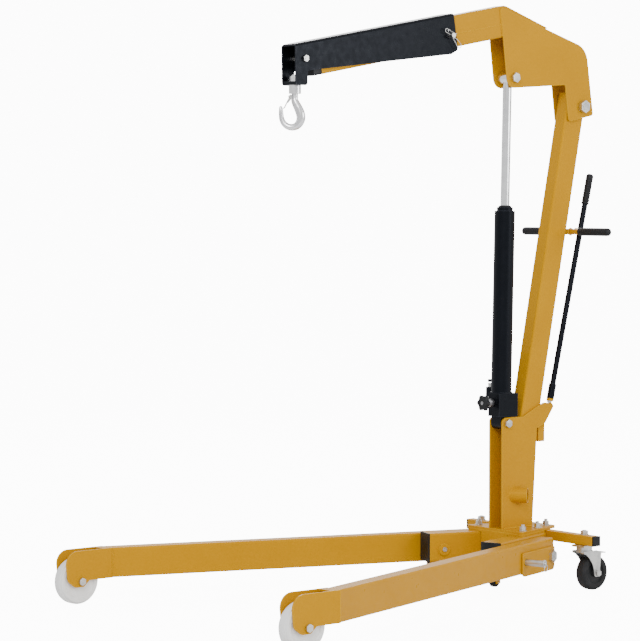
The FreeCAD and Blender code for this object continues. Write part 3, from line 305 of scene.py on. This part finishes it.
def sweep(path, radii, sides=12, closed=False):
    """A tube along points, with a radius for each point."""
    made = bmesh.new()
    path = [Vector(p) for p in path]
    count = len(path)
    if not isinstance(radii, (list, tuple)):
        radii = [radii] * count
    tangents = []
    for i in range(count):
        after = path[(i + 1) % count] if closed or i < count - 1 else path[i]
        before = path[i - 1] if closed or i > 0 else path[i]
        tangents.append((after - before).normalized())
    side = tangents[0].orthogonal().normalized()
    rings = []
    for point, tangent, radius in zip(path, tangents, radii):
        side = (side - tangent * side.dot(tangent)).normalized()
        other = tangent.cross(side)
        rings.append([made.verts.new(point + side * (radius * math.cos(a)) + other * (radius * math.sin(a)))
                      for a in (2 * math.pi * k / sides for k in range(sides))])
    pairs = list(zip(rings, rings[1:]))
    if closed:
        pairs.append((rings[-1], rings[0]))
    else:
        made.faces.new(rings[0])
        made.faces.new(rings[-1])
    shift = 0
    for low, high in pairs:
        if closed and low is rings[-1]:
            shift = min(range(sides), key=lambda k: (high[k].co - low[0].co).length)
        for k in range(sides):
            m = (k + 1) % sides
            made.faces.new((low[k], low[m], high[(m + shift) % sides], high[(k + shift) % sides]))
    return from_bmesh("sweep", made)


def spline(points, steps=8, closed=False):
    """Catmull-Rom points through the given ones."""
    points = [Vector(p) for p in points]
    count = len(points)
    out = []
    for i in range(count if closed else count - 1):
        p = [points[(i + k) % count] if closed else points[min(max(i + k, 0), count - 1)] for k in (-1, 0, 1, 2)]
        for s in range(steps):
            t = s / steps
            out.append(0.5 * (2 * p[1] + (p[2] - p[0]) * t + (2 * p[0] - 5 * p[1] + 4 * p[2] - p[3]) * t * t
                              + (3 * p[1] - p[0] - 3 * p[2] + p[3]) * t ** 3))
    if not closed:
        out.append(points[-1])
    return out


def bead(path, radius, ripple=0.0042):
    """A weld bead: a tube with the ripples of the torch along straight runs."""
    points, radii = [], []
    for start, end in zip(path, path[1:]):
        start, end = Vector(start), Vector(end)
        count = max(2, int((end - start).length / ripple * 4))
        for i in range(count):
            points.append(start.lerp(end, i / count))
            radii.append(radius * (1 + 0.16 * math.sin(i * math.pi / 2) + 0.05 * math.sin(i * 1.7)))
    points.append(Vector(path[-1]))
    radii.append(radius * 0.8)
    return sweep(points, radii, 8)


def thread(radius, depth, pitch, low, high, place, steps=28):
    """A screw thread from z = low to z = high on a core."""
    turns = (high - low) / pitch
    count = int(turns * steps)
    made = bmesh.new()
    rows = []
    for i in range(count + 1):
        angle = 2 * math.pi * i / steps
        middle = low + (high - low) * i / count
        row = []
        for r, dz in ((radius - depth, -0.5), (radius, -0.12), (radius, 0.12), (radius - depth, 0.5)):
            z = min(max(middle + dz * pitch, low), high)
            row.append(made.verts.new(place @ Vector((r * math.cos(angle), r * math.sin(angle), z))))
        rows.append(row)
    for a, b in zip(rows, rows[1:]):
        for k in range(3):
            made.faces.new((a[k], b[k], b[k + 1], a[k + 1]))
    return from_bmesh("thread", made)


def hexagon(across, low, high, place):
    """A hex head or nut with its chamfered corners."""
    made = bmesh.new()
    radius, steps, chamfer = across / math.sqrt(3), 48, across * 0.1
    rings = []
    for height, cap in ((low, 0.93), (low + chamfer, 1.0), (high - chamfer, 1.0), (high, 0.93)):
        ring = []
        for i in range(steps):
            angle = 2 * math.pi * i / steps
            flat = across / 2 / math.cos((angle + math.pi / 6) % (math.pi / 3) - math.pi / 6)
            reach = min(flat, cap * radius)
            ring.append(made.verts.new(place @ Vector((reach * math.cos(angle), reach * math.sin(angle), height))))
        rings.append(ring)
    for a, b in zip(rings, rings[1:]):
        for i in range(steps):
            j = (i + 1) % steps
            made.faces.new((a[i], a[j], b[j], b[i]))
    made.faces.new(rings[0])
    made.faces.new(rings[-1])
    return from_bmesh("hexagon", made)


def along(origin, axis):
    """A matrix whose local Z runs along an axis from an origin."""
    return Matrix.Translation(origin) @ Vector(axis).to_track_quat("Z", "Y").to_matrix().to_4x4()


# ---------------------------------------------------------------- the CAD nodes

slots = {entry["node"]: entry["material_slot"] for entry in frame["record"]["subparts"]}
BEVEL = {"boom_cap": 0.0015, "mast_tube": 0.005, "base_arm_left": 0.003, "base_arm_right": 0.003,
         "leg_left": 0.004, "leg_right": 0.004, "boom_tube": 0.003, "pump_block": 0.0022, "foot_flange": 0.001,
         "hook_collar_and_nut": 0.0012}
FINE_BEVEL = 0.0007
WIDE_BEVEL = 0.0025      # above this a bevel gets three segments
for name, obj in NODE.items():
    obj.data.materials.clear()
    obj.data.materials.append(FINISH[slots[name]])
    weld = obj.modifiers.new("weld", "WELD")
    weld.merge_threshold = MERGE
    flat = obj.modifiers.new("flat", "DECIMATE")
    flat.decimate_type, flat.angle_limit = "DISSOLVE", math.radians(0.6)
    smooth(obj.data, 32)
    width = BEVEL.get(name, FINE_BEVEL)
    rounded(obj, width, 3 if width > WIDE_BEVEL else 2)
    even = obj.modifiers.new("even", "WEIGHTED_NORMAL")
    even.keep_sharp, even.weight = True, 100


# ---------------------------------------------------------------- wheels

def front_wheels():
    for word in WORDS:
        place = along(joint_place("front_roll_" + word), (1, 0, 0))
        low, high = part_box("front_wheel_" + word)
        r, w = (high.z - low.z) / 2, (high.x - low.x) / 2
        half = [(0.0061, -w), (0.0125, -w), (0.014, -w + 0.0012), (0.0142, -w + 0.0035), (0.0165, -w + 0.0052),
                (0.044, -w + 0.0052), (0.0455, -w + 0.0042), (0.047, -w + 0.002), (r - 0.0065, -w + 0.002),
                (r - 0.0045, -w + 0.0032), (r - 0.0038, -w + 0.0055), (r - 0.0036, -w + 0.0074),
                (r - 0.0006, -w + 0.0086), (r, -w + 0.0108)]
        profile = half + [(a, -b) for a, b in reversed(half)] + [half[0]]
        wheel = piece("nylon_wheel_" + word, lathe(profile, place, 96), NYLON, "front_wheel_" + word, degrees=24)
        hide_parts("front_wheel_" + word)


def castor_wheels():
    for word in WORDS:
        place = along(joint_place("castor_roll_" + word), (1, 0, 0))
        low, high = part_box("castor_wheel_" + word)
        r, w = (high.z - low.z) / 2, (high.x - low.x) / 2
        t = w - 0.002
        tyre = [(r - 0.018, -t + 0.001), (r - 0.009, -t), (r - 0.0045, -t + 0.0012), (r - 0.0016, -t + 0.0042),
                (r - 0.0003, -t + 0.009), (r, 0)]
        tyre = tyre + [(a, -b) for a, b in reversed(tyre[:-1])] + [tyre[0]]
        hub = [(0.0051, -w), (0.0105, -w), (0.0112, -w + 0.001), (0.0125, -t + 0.004), (r - 0.0215, -t + 0.005),
               (r - 0.019, -t + 0.0022), (r - 0.0172, -t + 0.002)]
        hub = hub + [(a, -b) for a, b in reversed(hub)] + [hub[0]]
        rubber = piece("castor_tyre_" + word, lathe(tyre, place, 80), TYRE, "castor_wheel_" + word, degrees=40)
        piece("castor_hub_" + word, lathe(hub, place, 64), PLASTIC, "castor_wheel_" + word, degrees=24)
        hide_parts("castor_wheel_" + word)


def storage_wheels():
    for word in WORDS:
        axis = JOINT["storage_roll_" + word]["axis"]
        place = along(joint_place("storage_roll_" + word), axis)
        r, w = 0.020, 0.009
        half = [(0.00405, -w), (0.009, -w), (0.0095, -w + 0.0012), (0.0142, -w + 0.0016), (0.0155, -w + 0.0004),
                (r - 0.0025, -w + 0.0003), (r - 0.0006, -w + 0.0022), (r, -w + 0.0045)]
        profile = half + [(a, -b) for a, b in reversed(half)] + [half[0]]
        wheel = piece("small_wheel_" + word, lathe(profile, place, 64), TYRE, "storage_wheel_" + word, degrees=28)
        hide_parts("storage_wheel_" + word)


# ---------------------------------------------------------------- hook

def hook_pieces():
    """Forged hook: thin tip, thick back, threaded neck; then its sheet latch."""
    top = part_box("hook")[1].z - joint_place("hook_swivel").z
    nut_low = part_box("hook_collar_and_nut")[0].z - joint_place("hook_swivel").z
    # local X and Z in metres, then the radius in millimetres, from the neck to the tip
    spine = [(0, top, 8), (0, 0.060, 8), (0, 0.049, 8.2), (-0.0004, 0.0425, 9.4), (0.0035, 0.033, 10.6),
             (0.0095, 0.021, 11.5), (0.0145, 0.008, 11.9), (0.0158, -0.004, 11.7), (0.0122, -0.0155, 10.9),
             (0.0045, -0.0238, 9.9), (-0.0065, -0.0272, 9.0), (-0.0185, -0.0252, 8.3), (-0.0284, -0.0176, 7.6),
             (-0.0341, -0.0065, 7.0), (-0.0360, 0.0055, 6.4), (-0.0366, 0.0165, 5.6), (-0.0371, 0.0240, 4.3),
             (-0.0374, 0.0280, 2.4)]
    steps = 5
    world = spline([HOOK @ Vector((x, 0, z)) for x, z, _ in spine], steps)
    radii = [(a[2] + (b[2] - a[2]) * i / steps) * MM for a, b in zip(spine, spine[1:]) for i in range(steps)]
    radii.append(spine[-1][2] * MM)
    body = sweep(world, radii, 28)
    turned = thread(0.0086, 0.0009, 0.002, 0.049, nut_low, HOOK)
    hinge = HOOK.inverted() @ joint_place("latch_swing")
    flat = Matrix.Rotation(math.radians(90), 4, "X")
    knuckle = [(hinge.x + 0.0042 * math.cos(a), hinge.z + 0.0042 * math.sin(a))
               for a in (math.radians(80 + 200 * i / 12) for i in range(13))]
    lug = prism(knuckle + [(-0.003, hinge.z - 0.009), (-0.003, hinge.z + 0.007)], -0.0048, 0.0048, HOOK @ flat)
    made = piece("forged_hook", merged("forged_hook", [body, turned, lug]), HOOK_STEEL, "hook", degrees=60)
    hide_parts("hook")
    latch = HOOK @ Matrix.Translation(hinge) @ Matrix.Rotation(LATCH_TILT, 4, "Y") @ flat
    tongue = [(-0.0013, 0.006), (-0.0015, -0.030), (-0.0030, -0.0352), (-0.0018, -0.0360), (0.0004, -0.0312),
              (0.0004, 0.006)]
    plate = prism(tongue, -0.0068, 0.0068, latch)
    ear = [(-0.0013, 0.006), (-0.0013, -0.020), (0.0022, -0.0165), (0.0046, -0.006), (0.0050, 0.001),
           (0.0036, 0.0045), (0.0010, 0.006)]
    ears = [prism(ear, low, low + 0.0014, latch) for low in (-0.0068, 0.0054)]
    rivet = lathe([(0, -0.0092), (0.0020, -0.0090), (0.0031, -0.0082), (0.0031, -0.0068), (0.0019, -0.0068),
                   (0.0019, 0.0068), (0.0031, 0.0068), (0.0031, 0.0082), (0.0020, 0.0090), (0, 0.0092)], latch, 24)
    made = piece("hook_safety_latch", merged("hook_safety_latch", [plate, rivet] + ears), ZINC, "latch", 0.0003,
                 degrees=30)
    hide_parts("hook_latch")


# ---------------------------------------------------------------- grips and knob

def grip_profile(length, outer, flange, ribs):
    """Vinyl grip from its flange at 0 to its domed end at length."""
    out = [(GRIP_BORE, 0), (flange - 0.0012, 0), (flange, 0.0012), (flange, 0.004), (flange - 0.0015, 0.0058),
           (outer, 0.0085)]
    first, last = 0.014, length - 0.012
    for i in range(ribs):
        at = first + (last - first) * i / ribs
        step = (last - first) / ribs
        groove = outer - 0.0009
        out += [(outer, at), (groove, at + step * 0.12), (groove, at + step * 0.3), (outer, at + step * 0.42)]
    out += [(outer, length - 0.008), (outer - 0.001, length - 0.0035), (outer - 0.004, length - 0.0006),
            (outer - 0.0075, length), (0, length)]
    return out


def grips():
    low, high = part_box("push_grips")
    outer, inner_end = (high.z - low.z) / 2, 0.056
    for word, side in SIDES:
        start = Vector((side * inner_end, (low.y + high.y) / 2, (low.z + high.z) / 2))
        profile = grip_profile(abs(high.x) - inner_end, outer - 0.0006, outer, 13)
        made = piece("push_grip_" + word, lathe(profile, along(start, (side, 0, 0)), 40), GRIP, "base", degrees=24)
        if side > 0:
            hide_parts("push_grips")
    low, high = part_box("handle_grip")
    up = Vector(JOINT["handle_lift"]["axis"])
    length = 0.088
    tip = Vector(((low.x + high.x) / 2, (low.y + high.y) / 2, (low.z + high.z) / 2)) + up * length / 2
    grip = lathe(grip_profile(length, 0.0105, 0.011, 9), along(tip - up * length, up), 40)
    made = piece("pump_handle_grip", grip, GRIP, "pump_handle", degrees=24)
    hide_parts("handle_grip")


def knob():
    """Six-lobed hand knob on a threaded collar, a hex and a stem."""
    centre = joint_place("release_turn")
    axis = Vector(JOINT["release_turn"]["axis"])
    place = along(centre, -axis)
    radius, lobes, lobe_height = 0.0207, 6, 0.0026
    steps = 96
    made = bmesh.new()
    rings = []
    for height, scale, soft in ((-0.0062, 0.80, 0.6), (-0.0055, 0.93, 0.9), (-0.0035, 1.0, 1.0), (0.0032, 1.0, 1.0),
                                (0.0052, 0.94, 0.9), (0.006, 0.84, 0.7), (0.0056, 0.62, 0.2), (0.005, 0.42, 0.0)):
        ring = []
        for i in range(steps):
            angle = 2 * math.pi * i / steps
            reach = radius + lobe_height * soft * math.cos(lobes * angle)
            ring.append(made.verts.new(place @ Vector((reach * scale * math.cos(angle),
                                                      reach * scale * math.sin(angle), height))))
        rings.append(ring)
    for a, b in zip(rings, rings[1:]):
        for i in range(steps):
            j = (i + 1) % steps
            made.faces.new((a[i], a[j], b[j], b[i]))
    made.faces.new(rings[0])
    made.faces.new(rings[-1])
    body = piece("lobed_knob", from_bmesh("lobed_knob", made), PLASTIC, "release_knob", degrees=40)
    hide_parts("release_knob")
    stem_place = along(centre, axis)
    core = lathe([(0, -0.006), (0.0053, -0.006), (0.0053, 0.048), (0, 0.048)], stem_place, 32)
    sleeve = lathe([(0, 0.0062), (0.0098, 0.0062), (0.0104, 0.0070), (0.0104, 0.0235), (0, 0.0235)], stem_place, 36)
    ridge = thread(0.0113, 0.0010, 0.0022, 0.0072, 0.0228, stem_place)
    nut = hexagon(0.0215, 0.0235, 0.0320, stem_place)
    piece("knob_stem", merged("knob_stem", [core, sleeve, ridge, nut]), DULL, "release_knob", degrees=40)


# ---------------------------------------------------------------- sleeve

def points_in(name, frame_of):
    """The vertices of a CAD node in a local frame."""
    back = frame_of.inverted() @ NODE[name].matrix_world
    return [back @ vert.co for vert in NODE[name].data.vertices]


def span(points, axis):
    values = [p[axis] for p in points]
    return min(values), max(values)


def bent_sleeve():
    """The sleeve's plate with its two long bends rounded."""
    points = points_in("boom_sleeve", BOOM)
    half, top, bend = span(points, 0)[1], span(points, 2)[1], 0.008
    arc = [math.radians(90 * i / 7) for i in range(8)]
    right = [(half - bend + bend * math.cos(a), top - bend + bend * math.sin(a)) for a in arc]
    outline = [(half, -0.4)] + right + [(-x, z) for x, z in reversed(right)] + [(-half, -0.4)]
    across = BOOM @ Matrix.Rotation(math.pi / 2, 4, "X")
    cutter = bpy.data.objects.new("sleeve_envelope", prism(outline, -0.2, 1.4, across))
    plain = bpy.data.objects.new("sleeve_plain", NODE["boom_sleeve"].data.copy())
    plain.matrix_world = NODE["boom_sleeve"].matrix_world
    for obj in (cutter, plain):
        bpy.context.scene.collection.objects.link(obj)
    plain.modifiers.new("weld", "WELD").merge_threshold = MERGE
    common = plain.modifiers.new("common", "BOOLEAN")
    common.operation, common.object, common.solver = "INTERSECT", cutter, "EXACT"
    bpy.context.view_layer.update()
    mesh = bpy.data.meshes.new_from_object(plain.evaluated_get(bpy.context.evaluated_depsgraph_get()))
    mesh.transform(plain.matrix_world)
    mesh.materials.clear()
    for obj in (cutter, plain):
        bpy.data.objects.remove(obj)
    made = bmesh.new()
    made.from_mesh(mesh)
    bmesh.ops.remove_doubles(made, verts=made.verts, dist=MERGE)
    bmesh.ops.dissolve_limit(made, angle_limit=math.radians(0.8), verts=made.verts, edges=made.edges)
    made = piece("bent_sleeve", from_bmesh("bent_sleeve", made), BLACK, "sleeve", 0.0011)
    even = made.modifiers.new("even", "WEIGHTED_NORMAL")
    even.keep_sharp, even.weight = True, 100
    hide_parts("boom_sleeve")


# ---------------------------------------------------------------- wire, welds and small hardware

def wire(points, radius, place, closed=False):
    return sweep([place @ p for p in spline([Vector(p) for p in points], 5, closed)], radius, 8, closed)


def hoop(major, minor, place, ripple=0.0):
    """A ring about the local Z, rippled where it is a weld."""
    count = 56
    angles = (2 * math.pi * i / count for i in range(count))
    path = [place @ Vector((major * math.cos(a), major * math.sin(a), 0)) for a in angles]
    return sweep(path, [minor * (1 + ripple * math.sin(i * math.pi / 2)) for i in range(count)], 8, True)


def sleeve_clip():
    """R-clip through the end of the sleeve pin, and the stiff wire loop that keeps it."""
    low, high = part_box("sleeve_pin")
    centre = Vector((high.x, (low.y + high.y) / 2, (low.z + high.z) / 2))
    upright = Matrix(((0, 0, 1, 0), (-1, 0, 0, 0), (0, 1, 0, 0), (0, 0, 0, 1)))
    clip = Matrix.Translation(centre - Vector((0.0095, 0, 0))) @ upright @ Matrix.Rotation(math.radians(24), 4, "Z")
    ring = [(0.0215 + 0.0052 * math.cos(a), 0.0042 + 0.0052 * math.sin(a), 0.0011 * i / 9)
            for i, a in enumerate(math.radians(-100 + 36 * k) for k in range(9))]
    leg = [(-0.014, 0, 0), (-0.006, 0, 0), (0.004, 0, 0), (0.013, -0.0004, 0)]
    bow = [(0.0155, 0.0098, 0.0012), (0.0085, 0.0088, 0.0011), (0.0, 0.0092, 0.001), (-0.0075, 0.0084, 0.001),
           (-0.0135, 0.0118, 0.001)]
    first = wire(leg + ring + bow, 0.0010, clip)
    loop = [(-0.003, -0.0070, 0), (-0.013, -0.0085, 0.001), (-0.024, -0.0165, 0.0015), (-0.0315, -0.0270, 0.0012),
            (-0.0280, -0.0330, 0.0005), (-0.020, -0.0305, 0), (-0.0125, -0.0205, 0), (-0.0055, -0.0110, 0)]
    second = wire(loop, 0.0009, Matrix.Translation(centre - Vector((0.0075, 0, 0))) @ upright, True)
    piece("sleeve_pin_clip", merged("sleeve_pin_clip", [first, second]), ZINC, "sleeve", degrees=60)


def reach_of(name, place):
    """How far a node reaches along the local Z of a frame."""
    return span(points_in(name, place), 2)


def leg_hardware():
    """Pivot bosses and pin hole rims on the brackets, rings on the lock pins, socket bolts inside the arms."""
    socket_y, socket_z, socket_radius = -0.148, 0.008, 0.0175
    for word, side in SIDES:
        outward = Vector(JOINT["leg_pin_pull_" + word]["axis"])
        pivot = joint_place("leg_fold_" + word)
        turned = along(pivot, outward)
        bracket = reach_of("leg_bracket_" + word, turned)[1]
        boss = lathe([(0.0108, bracket - 0.0005), (0.0155, bracket - 0.0005), (0.0155, bracket + 0.0012),
                      (0.0142, bracket + 0.0024), (0.0108, bracket + 0.0024), (0.0108, bracket - 0.0005)], turned, 48)
        low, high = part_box("leg_pin_" + word)
        middle = (low + high) / 2
        pin = along(middle, outward)
        face = bracket - (middle - pivot).dot(outward)
        ring = hoop(0.0118, 0.0011, pin @ Matrix.Translation((0, 0, face + 0.0002)), 0.15)
        piece("pivot_bosses_" + word, merged("pivot_bosses_" + word, [boss, ring]), ORANGE, "base", degrees=40)
        end = reach_of("leg_pin_" + word, pin)[1]
        down = pin.inverted().to_3x3() @ Vector((0, 0, -1))
        eye = pin @ Matrix.Translation(Vector((0, 0, end + 0.0020)) + down * 0.0110)
        lug = lathe([(0, end - 0.001), (0.0042, end - 0.001), (0.0042, end + 0.0022), (0.003, end + 0.0032),
                     (0, end + 0.0034)], pin, 24)
        piece("lock_pin_ring_" + word, merged("lock_pin_ring_" + word, [hoop(0.0096, 0.0010, eye), lug]), ZINC,
              "leg_pin_" + word, degrees=50)
        arm = leg_frame(word, side)
        points = [p for p in points_in("base_arm_" + word, arm)
                  if math.hypot(p.y - socket_y, p.z - socket_z) < socket_radius]
        inner = min(p.x * side for p in points) * side
        inward = arm.to_3x3() @ Vector((-side, 0, 0))
        socket = along(arm @ Vector((inner, socket_y, socket_z)), inward)
        bolt = [(0, 0.0008), (0.0034, 0.0008), (0.0034, 0.0040), (0.0060, 0.0040), (0.0068, 0.0032),
                (0.0068, -0.0004)]
        piece("arm_socket_bolt_" + word, lathe(bolt, socket, 36), ZINC, "base", degrees=30)


def studs():
    """Washers under the nuts of the foot flange, and threads on the studs above them."""
    made = []
    top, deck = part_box("foot_bolts")[1].z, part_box("foot_flange")[1].z
    for x, y in ((0.090, -0.046), (0.062, 0.036), (0.038, 0.092)):
        for side in (-1, 1):
            place = Matrix.Translation((side * x, BASE_Y + y, 0))
            made.append(thread(0.0050, 0.0007, 0.0015, top - 0.0085, top - 0.0004, place))
            made.append(lathe([(0.0053, deck), (0.0112, deck), (0.0112, deck + 0.0012), (0.0100, deck + 0.0016),
                               (0.0053, deck + 0.0016)], place, 40))
    piece("stud_threads", merged("stud_threads", made), ZINC, "base", degrees=40)


def handle_peg():
    """The peg that the stored pump handle stands on."""
    up = Vector(JOINT["handle_lift"]["axis"])
    low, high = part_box("pump_handle")
    place = along((low + high) / 2, up)
    end = reach_of("pump_handle", place)[0]
    cap = hexagon(0.0125, end - 0.0115, end - 0.0035, place)
    shank = lathe([(0, end - 0.0125), (0.0045, end - 0.0125), (0.0045, end - 0.0012), (0, end - 0.0008)], place, 28)
    piece("handle_peg", merged("handle_peg", [cap, shank]), ZINC, "base", degrees=35)


def welds():
    """Beads at the post plates, push bar, boom tube and forks, and the ridge along each side of the boom tube."""
    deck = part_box("foot_flange")[1].z
    made = []
    for word, side in SIDES:
        plate_low, plate_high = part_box("post_plate_" + word)
        outer = max(abs(plate_low.x), abs(plate_high.x))
        foot = [NODE["post_plate_" + word].matrix_world @ v.co for v in NODE["post_plate_" + word].data.vertices]
        foot = [p.y for p in foot if p.z < deck + 0.002]
        x, z = side * (outer + 0.0010), deck + 0.0010
        made.append(bead([(x, min(foot) + 0.004, z), (x, max(foot) - 0.004, z)], 0.0026))
        bar_low, bar_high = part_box("push_bar")
        centre = Vector((side * (MAST_X + 0.0008), (bar_low.y + bar_high.y) / 2, (bar_low.z + bar_high.z) / 2))
        made.append(hoop((bar_high.z - bar_low.z) / 2 + 0.0012, 0.0020, along(centre, (1, 0, 0)), 0.16))
    piece("base_welds", merged("base_welds", made), ORANGE, "base", degrees=60)
    made = []
    tube = points_in("boom_tube", BOOM)
    side_x, (low_z, high_z) = span(tube, 0)[1], span(tube, 2)
    plate = points_in("boom_plate_left", BOOM)
    front = min(p.y for p in plate if p.z > high_z - 0.03)
    nose = min(plate, key=lambda p: p.y)
    foot = nose.y + (front - nose.y) * (low_z - nose.z) / (high_z - nose.z)
    rear = span(points_in("boom_sleeve", BOOM), 1)[1]
    for side in (-1, 1):
        made.append(bead([BOOM @ Vector((side * (side_x + 0.0006), foot - 0.0004, low_z + 0.004)),
                          BOOM @ Vector((side * (side_x + 0.0006), front - 0.0004, high_z - 0.008))], 0.0021))
        level = low_z + 0.42 * (high_z - low_z)
        run = (rear + 0.006, rear + 0.012, front - 0.012, front - 0.004)
        ridge = [BOOM @ Vector((side * (side_x - 0.0004), y, level)) for y in run]
        made.append(sweep(ridge, [0.0003, 0.0013, 0.0013, 0.0013], 10))
    piece("boom_welds", merged("boom_welds", made), ORANGE, "boom", degrees=60)
    for word, side in SIDES:
        place = leg_frame(word, side)
        fork = points_in("fork_" + word, place)
        rear = span(fork, 1)[1]
        near = [p for p in fork if p.y > rear - 0.004]
        made = []
        for pick in (min, max):
            x = pick(p.x for p in near)
            z_low, z_high = span([p for p in near if abs(p.x - x) < 0.002], 2)
            offset = 0.0004 if pick is max else -0.0004
            made.append(bead([place @ Vector((x + offset, rear + 0.0006, z_low + 0.003)),
                              place @ Vector((x + offset, rear + 0.0006, z_high - 0.003))], 0.0019))
        piece("fork_welds_" + word, merged("fork_welds_" + word, made), ORANGE, "leg_" + word, degrees=60)


def ram_details():
    """Wiper seal round the rod, and the weld at the cylinder's foot."""
    low, top = reach_of("ram_cylinder", RAM)
    seal = [(0.0128, top - 0.001), (0.0180, top - 0.001), (0.0186, top + 0.0012), (0.0172, top + 0.0036),
            (0.0140, top + 0.0052), (0.0128, top + 0.0046), (0.0128, top - 0.001)]
    piece("rod_wiper", lathe(seal, RAM, 56), PLASTIC, "ram", degrees=35)
    foot = RAM @ Matrix.Translation((0, 0, low + 0.0016))
    piece("cylinder_weld", hoop(0.0290, 0.0021, foot, 0.14), BLACK, "ram", degrees=60)


front_wheels()
castor_wheels()
storage_wheels()
hook_pieces()
grips()
knob()
bent_sleeve()
sleeve_clip()
leg_hardware()
studs()
handle_peg()
welds()
ram_details()


# ---------------------------------------------------------------- camera, floor and light

CAMERA_AT = Vector((5.370, -4.5903, 1.103))
CAMERA_AZIMUTH, CAMERA_DOWN = math.radians(50.951), math.radians(2.797)
CAMERA_LENS = 147.6
WORLD_LIGHT = 1.0
WORLD_SEEN = 12.0        # the backdrop's strength for the camera alone
FLOOR_SEEN = 11.2        # the floor's glow for the camera alone


def camera():
    data = bpy.data.cameras.new("camera")
    data.sensor_width, data.lens = 36.0, CAMERA_LENS
    data.clip_start, data.clip_end = 0.1, 100.0
    obj = bpy.data.objects.new("camera", data)
    bpy.context.scene.collection.objects.link(obj)
    obj.location = CAMERA_AT
    level = math.cos(CAMERA_DOWN)
    back = Vector((math.sin(CAMERA_AZIMUTH) * level, -math.cos(CAMERA_AZIMUTH) * level, math.sin(CAMERA_DOWN)))
    obj.rotation_mode = "QUATERNION"
    obj.rotation_quaternion = (-back).to_track_quat("-Z", "Y")
    bpy.context.scene.camera = obj


def floor():
    mesh = bpy.data.meshes.new("floor")
    half = 30.0
    mesh.from_pydata([(-half, -half, 0), (half, -half, 0), (half, half, 0), (-half, half, 0)], [], [(0, 1, 2, 3)])
    made = Shader("pale_floor", (0.86, 0.86, 0.86), 0.6)
    made.colour(made.ramp(made.noise(0.6), (0.3, (0.85, 0.85, 0.855)), (0.7, (0.87, 0.87, 0.87))))
    seen = made.add("ShaderNodeLightPath")
    made.bsdf.inputs["Emission Color"].default_value = (1, 1, 1, 1)
    glow = made.add("ShaderNodeMapRange")
    glow.inputs["To Min"].default_value = 0.0
    glow.inputs["To Max"].default_value = FLOOR_SEEN
    made.link(seen.outputs["Is Camera Ray"], glow.inputs["Value"])
    made.link(glow.outputs["Result"], made.bsdf.inputs["Emission Strength"])
    mesh.materials.append(made.material)
    obj = bpy.data.objects.new("floor", mesh)
    bpy.context.scene.collection.objects.link(obj)


def area_light(name, place, target, size, power):
    data = bpy.data.lights.new(name, "AREA")
    data.shape, data.size, data.energy = "SQUARE", size, power
    obj = bpy.data.objects.new(name, data)
    bpy.context.scene.collection.objects.link(obj)
    obj.location = place
    obj.rotation_mode = "QUATERNION"
    obj.rotation_quaternion = (Vector(target) - Vector(place)).to_track_quat("-Z", "Y")


def lights():
    world = bpy.data.worlds.new("studio")
    bpy.context.scene.world = world
    world.use_nodes = True
    background = world.node_tree.nodes["Background"]
    background.inputs["Color"].default_value = (1, 1, 1, 1)
    seen = world.node_tree.nodes.new("ShaderNodeLightPath")
    level = world.node_tree.nodes.new("ShaderNodeMapRange")
    level.inputs["To Min"].default_value = WORLD_LIGHT
    level.inputs["To Max"].default_value = WORLD_SEEN
    world.node_tree.links.new(seen.outputs["Is Camera Ray"], level.inputs["Value"])
    world.node_tree.links.new(level.outputs["Result"], background.inputs["Strength"])
    area_light("key", (3.4, -3.6, 4.2), (0, 0, 0.7), 2.6, 190)
    area_light("side", (4.6, 2.6, 2.2), (0, 0, 0.8), 2.2, 90)
    area_light("back", (-3.8, 2.4, 3.4), (0, 0, 0.9), 2.4, 110)


camera()
floor()
lights()
